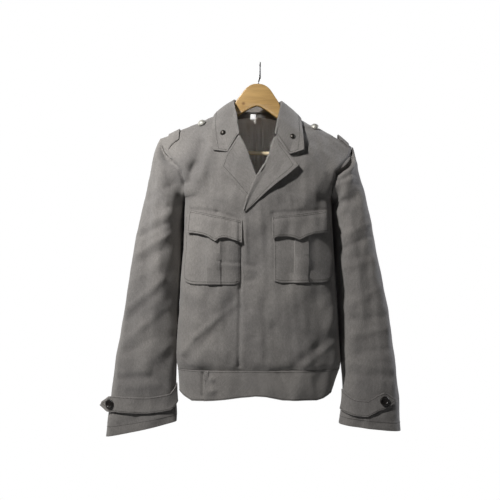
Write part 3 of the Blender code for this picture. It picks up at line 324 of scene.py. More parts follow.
def fold_push(a, b, folds):
    """How far the folds push the cloth out at the places (a, b)."""
    push = np.zeros_like(a)
    for a0, b0, a1, b1, width, height in folds:
        run_a, run_b = a1 - a0, b1 - b0
        t = np.clip(((a - a0) * run_a + (b - b0) * run_b) / (run_a ** 2 + run_b ** 2), 0, 1)
        away = (a - a0 - t * run_a) ** 2 + (b - b0 - t * run_b) ** 2
        push = push + height * np.exp(-away / width ** 2)
    return push


def lap_lift(face, x, z):
    """How far the upper front stands over the under one, and the under one gives way to its lapel."""
    near = np.exp(-((z - LAP_EXTRA_Z) / LAP_EXTRA_SPAN) ** 2)
    if face == "front_left":
        return (LAP_LIFT + LAP_EXTRA * near) * ease(LAP_FROM, LAP_TO, x) * ease(LAP_FADE_HIGH, LAP_FADE_LOW, z)
    return -LAP_DIP * near * ease(DIP_FROM, DIP_TO, x)


def body_row(level, face):
    """Outline of one face of the body at a level, in fine steps from -X to +X."""
    row = dict(zip(BODY_COLUMNS, smooth_rows(BODY, level)[0]))
    back = face == "back"
    side_y, mid_y, mid_z = ((row["back_side_y"], row["back_y"], row["back_z"]) if back
                            else (row["front_side_y"], row["front_y"], row["front_z"]))
    if level < ARMPIT:
        side_y = SIDE_SEAM_Y
    turn = np.linspace(0, math.pi / 2, OUTLINE_STEPS)
    out = np.abs(np.cos(turn)) ** (2 / row["fullness"])
    bulge = np.sin(turn) ** (2 / row["fullness"])
    soft = SHOULDER_ROUND
    climb = 1 - (np.sqrt(out ** 2 + soft ** 2) - soft) / (math.sqrt(1 + soft ** 2) - soft)
    x = row["half_width"] * out
    y = side_y + (mid_y - side_y) * bulge
    z = row["side_z"] + (mid_z - row["side_z"]) * climb
    middle = CENTRE_X + row["shift"] * out
    low_x = np.stack([middle - x, y, z + row["tilt"] * out], 1)
    high_x = np.stack([middle + x, y, z - row["tilt"] * out], 1)[::-1]
    points = np.concatenate([low_x, high_x[1:]])
    push = fold_push(points[:, 0], points[:, 2], BACK_FOLDS if back else FRONT_FOLDS)
    if face != "back":
        push = push + lap_lift(face, points[:, 0], points[:, 2])
    points[:, 1] += push if back else -push
    return points


def level_at(z):
    """Level of the body at a height below the armpit."""
    levels = np.linspace(0, ARMPIT, 121)
    return np.interp(z, smooth_rows(BODY, levels)[:, 1], levels)


def edge_run(row, edge):
    """Distance along a row to where it meets an edge of (x, z) points, seen from the front."""
    edge = np.asarray(edge, float)
    off = row[:, 0] - np.interp(row[:, 2], edge[:, 1], edge[:, 0])
    i = max(int(np.argmax(off > 0)), 1)
    f = off[i - 1] / (off[i - 1] - off[i])
    run = run_of(row)
    return run[i - 1] + f * (run[i] - run[i - 1])


class Face:
    """One face of the body: its rows, and its depth and height at places seen from afar."""

    def __init__(self, face):
        self.face = face
        self.rows = [body_row(v, face) for v in np.linspace(2.5, SHOULDER, 93)]
        self.out = 1.0 if face == "back" else -1.0

    def depth(self, x, z):
        """y of the cloth at (x, z), seen from the front or the back."""
        row_z = np.array([np.interp(x, r[:, 0], r[:, 2]) for r in self.rows])
        row_y = np.array([np.interp(x, r[:, 0], r[:, 1]) for r in self.rows])
        return np.interp(z, row_z, row_y)

    def lifted(self, x, z, lift):
        """Point over the cloth at (x, z), lifted off it along its normal."""
        d = 2.0
        y = self.depth(x, z)
        slope_x = (self.depth(x + d, z) - self.depth(x - d, z)) / (2 * d)
        slope_z = (self.depth(x, z + d) - self.depth(x, z - d)) / (2 * d)
        normal = unit(np.array([-slope_x, 1.0, -slope_z]) * self.out)
        return np.array([x, y, z]) + normal * lift


@functools.lru_cache(maxsize=None)
def panel_levels(face, below, above):
    """Levels of a panel's rows: even below the armpit, then even up the armhole and over the shoulder."""
    armhole = np.linspace(ARMPIT, 12, 121)
    points = np.array([body_row(v, face)[0] for v in armhole])
    spaced = np.interp(np.linspace(0, run_of(points)[-1], above + 1), run_of(points), armhole)
    return np.concatenate([np.linspace(0, ARMPIT, below + 1)[:-1], spaced, [12.7, 13.4, SHOULDER]])


def panel_places(start, stop, side, columns):
    """Distances across a panel, with one narrow column along the side seam."""
    places = np.linspace(start, stop, columns)
    narrow = start + NARROW if side < 0 else stop - NARROW
    return np.sort(np.append(places, narrow))


def front_panel(face, below, above, columns):
    """Grid of the outer side of a front panel."""
    grid = []
    for level in panel_levels(face, below, above):
        row = body_row(level, face)
        total = run_of(row)[-1]
        if face == "front_right":
            places = panel_places(SEAM, edge_run(row, UNDER_EDGE) - SEAM, -1, columns)
        else:
            places = panel_places(edge_run(row, OVER_EDGE) + SEAM, total - SEAM, 1, columns)
        grid.append(at_run(row, places))
    return np.array(grid)


def back_panel(below, above, columns):
    """Grid of the outer side of the back panel, hollowed out at the neck."""
    grid = []
    for level in panel_levels("back", below, above):
        row = body_row(level, "back")
        total = run_of(row)[-1]
        places = np.sort(np.append(np.linspace(SEAM / 2, total - SEAM / 2, columns - 1),
                                   (SEAM / 2 + NARROW, total - SEAM / 2 - NARROW)))
        line = at_run(row, places)
        if level > NECK_LEVEL:
            for j, place in enumerate(places):
                away = min(abs(line[j, 0] - CENTRE_X) / NECK_HALF, 1.0)
                dip = NECK_DROP * (1 - away ** 4) ** 0.8
                lower = body_row(level - dip * ease(NECK_LEVEL, SHOULDER, level), "back")
                line[j] = at_run(lower, [place / total * run_of(lower)[-1]])[0]
        grid.append(line)
    return np.array(grid)


@functools.lru_cache(maxsize=None)
def armhole_loop(side, count):
    """Armhole from the shoulder tip down the front and up the back."""
    end = 0 if side < 0 else -1
    face = "front_right" if side < 0 else "front_left"
    front = panel_levels(face, 1, count // 2 - 3)[1:]
    back = panel_levels("back", 1, count // 2 - 3)[1:]
    loop = [body_row(v, face)[end] for v in front[::-1]]
    loop += [body_row(v, "back")[end] for v in back[1:-1]]
    return np.array(loop)


def sleeve_rings(name, around):
    """Rings that a sleeve passes through, each as points at the given turns around it."""
    side = -1 if name == "sleeve_right" else 1
    count = len(around)
    leaves = unit(np.array(SLEEVE_LEAVES) * (side, 1, 1))
    loop = armhole_loop(side, count)
    rings = [loop + leaves * SEAM * 2, loop + leaves * SLEEVE_HEAD_EDGE]
    for row in SLEEVES[name]:
        outer_x, outer_z, inner_x, inner_z, front_y, back_y, fullness = row
        turn = 2 * math.pi * around
        c, s = np.cos(turn), np.sin(turn)
        c = np.sign(c) * np.abs(c) ** (2 / fullness)
        s = np.sign(s) * np.abs(s) ** (2 / fullness)
        rings.append(np.stack([(outer_x + inner_x) / 2 + c * (outer_x - inner_x) / 2,
                               (front_y + back_y) / 2 - s * (back_y - front_y) / 2,
                               (outer_z + inner_z) / 2 + c * (outer_z - inner_z) / 2], 1))
    return np.array(rings)


def sleeve_surface(name, around, levels):
    """Grid of the outer side of a sleeve at the given turns and levels, folds included."""
    grid = smooth_rows(sleeve_rings(name, around), levels)
    centre = grid.mean(axis=1, keepdims=True)
    outward = unit(grid - centre)
    a, b = np.meshgrid(around, levels)
    folds = [(a0, b0 * 0.1, a1, b1 * 0.1, w, h) for a0, b0, a1, b1, w, h in SLEEVE_FOLDS[name]]
    return grid + outward * fold_push(a, b * 0.1, folds)[..., None]


def section(seam, fold, edge, radius, crown, steps, sweep=math.pi):
    """Stand, rounded fold and leaf of turned-back cloth, through three points on its visible side."""
    stand_steps, fold_steps, leaf_steps = steps
    up = unit(fold - seam)
    over = edge - fold
    over = unit(over - up * (over @ up))
    centre = fold - up * radius + over * radius
    points = [seam + (fold - up * radius - seam) * f for f in np.linspace(0, 1, stand_steps + 1)[:-1]]
    for angle in np.linspace(0, sweep, fold_steps + 1):
        points.append(centre + radius * (up * math.sin(angle) - over * math.cos(angle)))
    start = points[-1]
    out = unit(up - unit(edge - start) * (up @ unit(edge - start)))
    for f in np.linspace(0, 1, leaf_steps + 1)[1:]:
        points.append(start + (edge - start) * f + out * crown * 4 * f * (1 - f))
    return np.array(points)


def collar_grid(stations, steps):
    """Grid of the visible side of the collar, from the viewer's left round the back to the right."""
    grid = []
    fold_at = steps[0] + steps[1]
    for t in stations:
        half = 1 - abs(t)
        side = -1.0 if t < 0 else 1.0
        rails = smooth_rows(COLLAR, half * (len(COLLAR) - 1))[0].reshape(3, 3)
        if side > 0:
            rails[:, 0] -= smooth_rows(COLLAR_LEFT_SHIFT, half * (len(COLLAR) - 1))[0]
            rails[2, 1] -= smooth_rows(COLLAR_LEFT_STANDS_OFF, half * (len(COLLAR) - 1))[0]
        rails[:, 2] -= side * rails[:, 0] * TILT_PER_MM * min(1.0, 5 * half)
        rails[:, 0] = CENTRE_X + side * rails[:, 0]
        points = section(rails[0], rails[1], rails[2], COLLAR_RADIUS, COLLAR_CROWN, steps)
        weight = max(0.0, 1 - half * (len(COLLAR) - 1)) ** 2
        if weight > 0:
            notch = np.array(COLLAR_NOTCHES[side])
            leaf = points[fold_at:]
            start, end = leaf[0][[0, 2]], leaf[-1][[0, 2]]
            bent = at_run(np.array([start, notch, end]),
                          np.linspace(0, 1, len(leaf)) * run_of(np.array([start, notch, end]))[-1])
            straight = start + (end - start) * np.linspace(0, 1, len(leaf))[:, None]
            points[fold_at:, 0] += weight * (bent - straight)[:, 0]
            points[fold_at:, 2] += weight * (bent - straight)[:, 1]
            points[fold_at:, 1] -= weight * COLLAR_SPRING * np.sin(np.linspace(0, math.pi, len(leaf)))
        grid.append(points)
    return np.array(grid)


def lapel_grid(name, surface, rows, steps):
    """Grid of the visible side of a lapel, from its low end up to the gorge."""
    roll_low, roll_high, hem_low, tip, notch, radius, top_rest, stand_off = (
        np.array(v, float) if isinstance(v, tuple) else v for v in LAPELS[name])
    edge = np.asarray(UNDER_EDGE if name == "lapel_right" else OVER_EDGE, float)
    toward_opening = 1.0 if name == "lapel_right" else -1.0
    fold_at = steps[0] + steps[1]
    grid = []
    for q in np.linspace(0, 1, rows + 1):
        z = roll_low[1] + (roll_high[1] - roll_low[1]) * q
        x = np.interp(z, edge[:, 1], edge[:, 0]) + toward_opening * FACING * 1.6
        outer = hem_low + (tip - hem_low) * q + (0.0, LAPEL_BOW[name] * math.sin(math.pi * q))
        rest = SEAM + (top_rest - SEAM) * ease(0.0, 0.5, q)
        seam = surface.lifted(x, z, -CLOTH + 0.8)
        fold = surface.lifted(x, z, FACING + rest + radius)
        end = surface.lifted(outer[0], outer[1], FACING + rest + stand_off * q)
        points = section(seam, fold, end, radius, 0.0, steps, math.pi / 2)
        start = points[fold_at][[0, 2]]
        shares = np.linspace(0, 1, steps[2] + 1)
        way = np.array([start, notch, tip])
        bent = at_run(way, shares * run_of(way)[-1])
        straight = start + (tip - start) * shares[:, None]
        for k, share in enumerate(shares):
            place = start + (outer - start) * share + (bent - straight)[k] * q ** 2
            lift = FACING + rest + radius * ease(0.4, 0.0, share) + stand_off * q * share ** 2
            points[fold_at + k] = surface.lifted(place[0], place[1], lift)
        grid.append(points)
    return np.array(grid)


def on_front(across, z, surface, lift):
    """Point over the front at a distance across the cloth from the centre line."""
    row = body_row(level_at(z), surface.face)
    run = run_of(row)
    centre = np.interp(CENTRE_X, row[:, 0], run)
    here = at_run(row, [centre + across - 1, centre + across, centre + across + 1])
    way = unit(here[2] - here[0])
    return here[1] + np.array([way[1], -way[0], 0]) * lift


def pocket_columns(inner, outer, pleat_from, pleat_to):
    """Places across a pocket, with pairs of columns at the edges of its pleat."""
    step = 1.2 if outer > inner else -1.2
    left = np.linspace(inner, pleat_from, 4)
    middle = np.linspace(pleat_from + step, pleat_to - step, 3)
    right = pleat_to + (outer - pleat_to) * np.array([0.0, 0.3, 0.52, 0.7, 0.84, 0.95, 1.0])
    return np.concatenate([left, middle, right])


def pocket_grid(side, surface, rows):
    """Grid of the outer side of a patch pocket with its box pleat."""
    inner, outer, top_inner, top_outer, bottom, pleat_from, pleat_to, _, _, rest = POCKETS[side]
    grid = []
    for v in np.linspace(0, 1, rows + 1):
        line = []
        for across in pocket_columns(inner, outer, pleat_from, pleat_to):
            share = (across - inner) / (outer - inner)
            top = top_inner + (top_outer - top_inner) * share
            low = bottom
            for away, size, cut in ((share, POCKET_CORNER, POCKET_CORNER_RISE),
                                    (1 - share, POCKET_OUTER_CORNER, POCKET_OUTER_RISE)):
                near = min(away * abs(outer - inner) / size, 1.0)
                low += cut * (1 - math.sqrt(1 - (1 - near) ** 2))
            z = low + (top - low) * v
            pleat = abs(pleat_from) < abs(across) < abs(pleat_to)
            rise = PLEAT_RISE * ease(0.0, 26.0, top - z) if pleat else 0.0
            line.append(on_front(across, z, surface, rest + POCKET_CLOTH + rise))
        grid.append(line)
    return np.array(grid)


def flap_grid(side, surface, columns, rows):
    """Grid of the outer side of a scalloped pocket flap."""
    top_inner, top_outer = POCKETS[side][2:4]
    inner, outer, rest = POCKETS[side][-3:]
    places = [p for p, _ in FLAP_SCALLOPS[side]]
    drops = [d for _, d in FLAP_SCALLOPS[side]]
    shares = np.union1d(np.linspace(0, 1, columns + 1), places[1:-1])
    grid = []
    for v in np.linspace(0, 1, rows + 1):
        line = []
        for share in shares:
            across = inner + (outer - inner) * share
            top = top_inner + FLAP_SEWN_ABOVE + (top_outer - top_inner) * share
            drop = np.interp(share, places, drops) * (1 - v)
            rise = FLAP_RISE * ease(0.0, 14.0, drop) + FLAP_SPREADS[side] * (1 - v) ** 2
            pleat = ease(0.2, 0.08, abs(share - 0.45)) * 1.4
            line.append(on_front(across, top - drop, surface, rest - 0.5 + CLOTH + rise + pleat))
        grid.append(line)
    return np.array(grid)


def level_on_sleeve(name, around, z):
    """Level of a sleeve where it is at height z, at one turn around it."""
    levels = np.linspace(6, 10, 81)
    line = sleeve_surface(name, np.linspace(0, 1, 33)[:-1], levels)
    i = around * 32
    k = int(i) % 32
    heights = line[:, k, 2] + (line[:, (k + 1) % 32, 2] - line[:, k, 2]) * (i - int(i))
    return np.interp(-z, -heights, levels)


def on_sleeve(name, around, z, lift):
    """Point over a sleeve at one turn around it and one height, and the way round it there."""
    turns = np.linspace(0, 1, 129)[:-1]
    level = level_on_sleeve(name, around, z)
    ring = sleeve_surface(name, turns, np.array([level]))[0]
    ring = np.concatenate([ring, ring[:1]])
    here = [np.array([np.interp(a, np.linspace(0, 1, 129), ring[:, i]) for i in range(3)])
            for a in (around + 0.012, around, around - 0.012)]
    way = unit(here[2] - here[0])
    side = 1.0 if name == "sleeve_right" else -1.0
    return here[1] + np.array([-way[1], way[0], 0]) * lift * side, way


def tab_grid(name, columns, rows, lift=REST):
    """Grid of the outer side of a cuff tab, from the seam to its point."""
    sleeve = "sleeve_right" if name == "cuff_tab_right" else "sleeve_left"
    table = np.array(CUFF_TABS[name])
    grid = []
    for v in np.linspace(0, 1, rows + 1):
        line = []
        for along in np.linspace(0, 1, columns + 1):
            around, upper, lower = (np.interp(along, table[:, 0], table[:, i]) for i in (1, 2, 3))
            clear = lift + TAB_CLOTH + 1.5 * ease(0.3, 0.0, along) + TAB_SPREAD * (1 - v) ** 2
            point, way = on_sleeve(sleeve, around, lower + (upper - lower) * v, clear)
            point = point + way * TAB_LEAVES[name] * max(0.0, (along - 0.8) / 0.2)
            line.append(point)
        grid.append(line)
    return np.array(grid)


def band_grid(columns, rows):
    """Grid of the outer side of the waistband, from its under end round the back to its lapped end."""
    front, back = body_row(0, "front_right"), body_row(0, "back")
    start = np.interp(BAND_UNDER_END_X, front[:, 0], run_of(front))
    stop = np.interp(BAND_OVER_END_X, front[:, 0], run_of(front))
    first = at_run(front, np.linspace(start, 0, 40))
    last = at_run(front, np.linspace(run_of(front)[-1], stop, 60))
    path = np.concatenate([first, back[1:-1], last])
    total = run_of(path)[-1]
    over_from = total - run_of(last)[-1]
    places = np.linspace(0, total, columns + 1)
    places = np.concatenate([places[:-1], [total - BAND_CORNER, total - BAND_CORNER * 0.3, total]])
    grid = []
    for v in np.linspace(0, 1, rows + 1):
        line = at_run(path, places)
        for i, place in enumerate(places):
            x, y = line[i, 0], line[i, 1]
            lap = BAND_LAP * ease(LAP_FROM, LAP_TO, x) if place > over_from else 0.0
            front_z = np.interp(x, *np.array(BAND_FRONT_EDGE).T)
            low_z = front_z + (BAND_BACK_Z - front_z) * ease(-20, 20, y)
            from_end = (total - place) / BAND_CORNER
            corner = BAND_CORNER * (1 - math.sqrt(max(0.0, 1 - (1 - min(from_end, 1)) ** 2))) * 0.8
            top_z = BAND_TOP - corner
            tuck = 1 + (BAND_TUCK - 1) * (1 - v)
            line[i] = ((x - BAND_TUCK_X) * tuck + BAND_TUCK_X, (y - lap) * (1 + tuck) / 2,
                       low_z + (top_z - low_z) * v)
        grid.append(line)
    return np.array(grid)


def lining_grid(columns, rows):
    """Grid of the inner face of the lining, down the inside of the back, with soft pleats."""
    surface = Face("back")
    grid = []
    for v in np.linspace(0, 1, rows + 1):
        line = []
        for share in np.linspace(-1, 1, columns + 1):
            x = CENTRE_X + share * LINING_HALF_WIDTH * (1 - 0.42 * v ** 3)
            top = -104.0 - 4.0 * abs(share) ** 2 - (x - CENTRE_X) * TILT_PER_MM
            z = LINING_LOW_Z + (top - LINING_LOW_Z) * v
            pleat = LINING_PLEAT_DEPTH * math.cos(share * math.pi * LINING_PLEATS) * (1 - v) ** 0.5
            line.append(surface.lifted(x, z, -LINING_INSET - LINING_NECK_INSET * v ** 2 - pleat))
        grid.append(line)
    return np.array(grid)


def on_grid(grid, a, b, axes, farthest):
    """Point of a grid at the coordinates (a, b) of two axes, and its normal, both towards one way.

    axes gives the two known axes and the third; farthest is 1 or -1 along the third.
    """
    corners = grid[:-1, :-1], grid[:-1, 1:], grid[1:, 1:], grid[1:, :-1]
    triangles = np.concatenate([np.stack([corners[i] for i in pick], 2).reshape(-1, 3, 3)
                                for pick in ((0, 1, 2), (0, 2, 3))])
    flat = triangles[:, :, list(axes[:2])]
    u, v = flat[:, 1] - flat[:, 0], flat[:, 2] - flat[:, 0]
    w = np.array([a, b]) - flat[:, 0]
    area = u[:, 0] * v[:, 1] - u[:, 1] * v[:, 0]
    area = np.where(np.abs(area) < 1e-6, 1e-6, area)
    s = (w[:, 0] * v[:, 1] - w[:, 1] * v[:, 0]) / area
    t = (u[:, 0] * w[:, 1] - u[:, 1] * w[:, 0]) / area
    outside = np.maximum(-np.minimum(np.minimum(s, t), 1 - s - t), 0)
    known = triangles[:, 0] + s[:, None] * (triangles[:, 1] - triangles[:, 0])
    points = known + t[:, None] * (triangles[:, 2] - triangles[:, 0])
    best = int(np.argmax(points[:, axes[2]] * farthest - outside * 1e6))
    normal = unit(np.cross(triangles[best, 1] - triangles[best, 0], triangles[best, 2] - triangles[best, 0]))
    return points[best], normal * (1 if normal[axes[2]] * farthest > 0 else -1)


def shoulder_top(panels, x, y):
    """Point on top of the shoulder at (x, y), and its normal."""
    name = "back" if y > 2 else "front_right" if x < CENTRE_X else "front_left"
    return on_grid(panels[name], x, y, (0, 1, 2), 1)


def carrier_grid(name, panels, columns, rows):
    """Grid of the outer side of a strap carrier, over the top of the shoulder panels."""
    x, width, rise_in, rise_out, front_y, back_y = CARRIERS[name]
    toward_neck = 1.0 if x < CENTRE_X else -1.0
    grid = []
    for share in np.linspace(-1, 1, rows + 1):
        line = []
        for t in np.linspace(0, 1, columns + 1):
            y = front_y + (back_y - front_y) * t
            here = shoulder_top(panels, x + share * toward_neck * width / 2, y)[0]
            rise = (rise_out + (rise_in - rise_out) * (share + 1) / 2) * math.sin(math.pi * t) ** 0.8
            lean = unit(np.array([toward_neck * 0.25, (y - 2) / 60, 1.0]))
            line.append(here + lean * (REST + CARRIER_CLOTH + 0.8 + rise))
        grid.append(line)
    return np.array(grid)


def hook_points(step):
    """Centre line of the wire hook, its curve in steps of so many degrees."""
    top = HOOK_WIRE - HOOK_RADIUS
    points = []
    for degrees in range(-60, 181, step):
        a = math.radians(degrees)
        points.append((0.0, -HOOK_RADIUS * math.cos(a), top + HOOK_RADIUS * math.sin(a)))
    return points + [(-0.5, HOOK_RADIUS * 0.8, top - 8.5), (-1.5, HOOK_RADIUS * 0.3, top - 15.5),
                     (-2.5, 0.0, top - 21.5), (-4.0, 0.0, -42.8)]


# Creases of wear, seen from the front as ridges (or troughs, where the height is below 0).
# Columns: x0, z0, x1, z1, width, height
ARMHOLE_CREASES = (
    (-208, -183, -189, -212, 4, -3.2), (-189, -212, -166, -238, 4, -3.2), (-166, -238, -159, -262, 4, -3.0),
    (201, -178, 195, -196, 4, -3.0), (195, -196, 160, -238, 4, -3.0), (160, -238, 155, -262, 4, -3.0),
)
FRONT_CREASES = ARMHOLE_CREASES + (
    # The under front dips beside the edge of the upper one
    (-42, -345, -42, -480, 4, -4.2), (-42, -480, -44, -640, 4, -3.4),
    # Seams that pull in above the pocket flaps
    (-145, -317, -90, -323, 3, -2.2), (-90, -323, -44, -338, 3, -2.2), (26, -326, 137, -317, 3, -1.6),
    # Drag from the collar towards the armhole, on both sides of the chest
    (-117, -180, -133, -222, 7, -3.4), (-133, -222, -147, -258, 8, -3.6), (-101, -188, -119, -244, 8, 1.8),
    (-60, -215, -96, -262, 12, 1.2), (120, -175, 132, -225, 11, -2.0), (104, -190, 112, -250, 10, 1.4),
    (59, -290, 63, -320, 5, 1.2), (84, -262, 120, -300, 12, -1.2),
    # Fly buttons pressing through beside the front edge
    (-31, -338, -28, -420, 4, 1.2), (-28, -431, -10, -436, 4, -2.2), (-27, -442, -12, -444, 3.5, 1.4),
    (-28, -464, -12, -462, 4, -2.0), (-26, -472, -14, -471, 3, 1.0), (-26, -520, -10, -523, 5, -1.2),
    (-26, -585, -8, -582, 5, -1.2), (14, -360, 10, -640, 7, -0.9), (-2, -300, 2, -360, 9, 1.0),
    # Long drag below the wearer's right pocket, and the slack above the waistband
    (-161, -616, -135, -581, 6, 2.4), (-135, -581, -88, -541, 6, 2.6), (-88, -541, -44, -508, 7, 1.8),
    (-150, -628, -92, -566, 9, -2.2), (-70, -560, -42, -600, 10, -1.6), (-120, -500, -96, -520, 9, 1.4),
    (-60, -480, -48, -560, 11, -1.4), (-140, -520, -150, -570, 9, -1.6), (-96, -610, -60, -640, 9, 1.6),
    (164, -562, 118, -602, 11, -1.8), (118, -602, 66, -642, 11, -2.0), (150, -596, 92, -640, 8, 1.8),
    (40, -500, 58, -560, 12, 1.3), (96, -486, 140, -520, 12, -1.6), (30, -560, 44, -620, 10, -1.4),
    (118, -520, 150, -548, 9, 1.5),
    # Pockets: a crease across the pleat, and what was carried in them
    (-79, -425, -40, -428, 3, -1.6), (-76, -432, -42, -434, 4, 1.0), (-120, -400, -132, -452, 9, -1.0),
    (43, -439, 49, -445, 7, 1.5), (56, -400, 62, -420, 6, -1.0), (118, -392, 140, -452, 12, -1.3),
    # Waistband: its two hidden buttons and the puckers of its seam
    (-101, -668, -99, -668, 7, 3.6), (-101, -693, -99, -693, 7, 3.6), (-119, -660, -119, -704, 4, -3.2),
    (-114, -664, -113, -700, 4, 1.6), (-60, -664, -20, -706, 9, 1.2),
    (40, -660, 60, -700, 9, -1.3), (104, -664, 112, -704, 8, 1.2),
)
BACK_CREASES = (
    (-20, -180, -60, -330, 14, 2.4), (30, -190, 70, -340, 14, 2.0), (-120, -200, -104, -320, 12, -2.2),
    (118, -215, 100, -330, 12, 2.0), (-70, -380, -110, -470, 12, -2.0), (60, -400, 120, -470, 14, 2.2),
    (-40, -470, 20, -560, 14, 1.8), (40, -520, 110, -600, 13, -2.4), (-140, -560, -60, -620, 11, 2.0),
    (-20, -600, 60, -636, 11, -1.8), (-100, -500, -120, -590, 9, -1.6), (140, -480, 146, -600, 9, 1.8),
    (0, -250, -8, -420, 10, 1.2), (-60, -664, -20, -700, 9, 1.2), (40, -662, 76, -700, 9, -1.3),
)
SLEEVE_CREASES = ARMHOLE_CREASES + (
    # Wearer's right sleeve, from its head down to the cuff
    (-214, -214, -180, -262, 9, -2.6), (-226, -236, -196, -300, 8, 1.8), (-244, -300, -190, -268, 8, -1.8),
    (-246, -352, -188, -322, 9, 2.2), (-252, -372, -196, -346, 7, -2.0), (-258, -410, -186, -366, 7, 2.6),
    (-262, -432, -200, -398, 8, -2.2), (-268, -470, -214, -430, 9, 1.8), (-276, -524, -204, -462, 7, 2.6),
    (-280, -548, -214, -492, 8, -2.4), (-250, -560, -196, -520, 8, 1.6), (-292, -600, -228, -548, 8, 2.2),
    (-288, -620, -222, -586, 8, -2.2), (-240, -640, -190, -600, 9, 1.8), (-300, -660, -236, -652, 7, 1.8),
    (-302, -674, -230, -668, 6, -2.2), (-280, -690, -214, -684, 6, 1.6), (-232, -420, -238, -520, 10, -1.4),
    (-300, -770, -240, -752, 9, -1.4), (-230, -762, -190, -744, 8, 1.2),
    # Wearer's left sleeve
    (200, -209, 165, -238, 5, -6.0), (204, -219, 172, -247, 5, 3.0), (206, -232, 166, -256, 5, -2.4),
    (208, -250, 162, -262, 6, 1.6), (196, -282, 178, -330, 9, -2.0), (214, -290, 204, -372, 9, 2.0),
    (228, -346, 172, -372, 8, 1.8), (230, -372, 178, -396, 8, -2.2), (240, -420, 178, -438, 8, 2.0),
    (206, -430, 216, -540, 9, 2.0), (224, -420, 236, -560, 9, -2.4), (252, -480, 196, -512, 7, 1.6),
    (262, -540, 192, -548, 7, -2.0), (264, -566, 196, -582, 8, 2.0), (272, -610, 204, -618, 7, -2.0),
    (276, -650, 190, -640, 7, 2.0), (278, -668, 196, -662, 6, -2.2), (240, -580, 248, -700, 9, -1.6),
    (288, -758, 232, -766, 8, -1.4), (220, -754, 190, -744, 8, 1.2),
)
COLLAR_CREASES = (
    (-62, -151, -44, -143, 3, -1.6), (-84, -140, -70, -176, 8, 1.0), (-66, -236, -40, -262, 8, 1.0),
    (-50, -200, -62, -240, 8, -1.2), (44, -130, 70, -150, 8, 1.2), (22, -230, 40, -262, 9, 1.2),
    (52, -214, 30, -250, 8, -1.2), (72, -140, 78, -180, 7, -0.9),
)
LINING_CREASES = (
    # Gathers, all of them ridges, so that the lining keeps clear of the back
    (-8, -114, -10, -330, 3, 3.0), (5, -114, 3, -330, 3, 3.0), (-22, -124, -20, -330, 4, 2.4),
    (17, -120, 14, -330, 4, 2.4), (-35, -130, -31, -330, 4, 2.2), (28, -130, 24, -330, 4, 2.2),
    (-48, -140, -43, -330, 5, 1.8), (40, -140, 36, -330, 5, 1.8),
)
# Waves of the uneven cloth between the creases: their size and height
RUMPLE = ((92.0, 1.5), (43.0, 1.0), (19.0, 0.34))
RUMPLE_SEED = 7

SHEETS = {}
LINES = {}


def linear(code):
    """Linear colour of an sRGB hex code."""
    parts = [int(code[i:i + 2], 16) / 255 for i in (1, 3, 5)]
    return tuple(p / 12.92 if p <= 0.04045 else ((p + 0.055) / 1.055) ** 2.4 for p in parts) + (1.0,)


def add(tree, kind, values=None, links=None, **settings):
    """Node with its settings, its sockets' values and its links."""
    node = tree.nodes.new(kind)
    for key, value in settings.items():
        setattr(node, key, value)
    for key, value in (values or {}).items():
        node.inputs[key].default_value = value
    for key, socket in (links or {}).items():
        tree.links.new(socket, node.inputs[key])
    return node


def new_material(name):
    """Material with an empty node tree, its output and its Principled shader."""
    material = bpy.data.materials.new(name)
    material.use_nodes = True
    tree = material.node_tree
    tree.nodes.clear()
    shader = add(tree, "ShaderNodeBsdfPrincipled")
    add(tree, "ShaderNodeOutputMaterial", links={"Surface": shader.outputs[0]})
    return material, tree, shader


def ramp(tree, source, stops):
    """Colour ramp through stops of (position, colour)."""
    node = add(tree, "ShaderNodeValToRGB", links={0: source})
    bands = node.color_ramp.elements
    while len(bands) < len(stops):
        bands.new(0.5)
    for band, (place, colour) in zip(bands, stops):
        band.position = place
        band.color = colour
    return node.outputs[0]


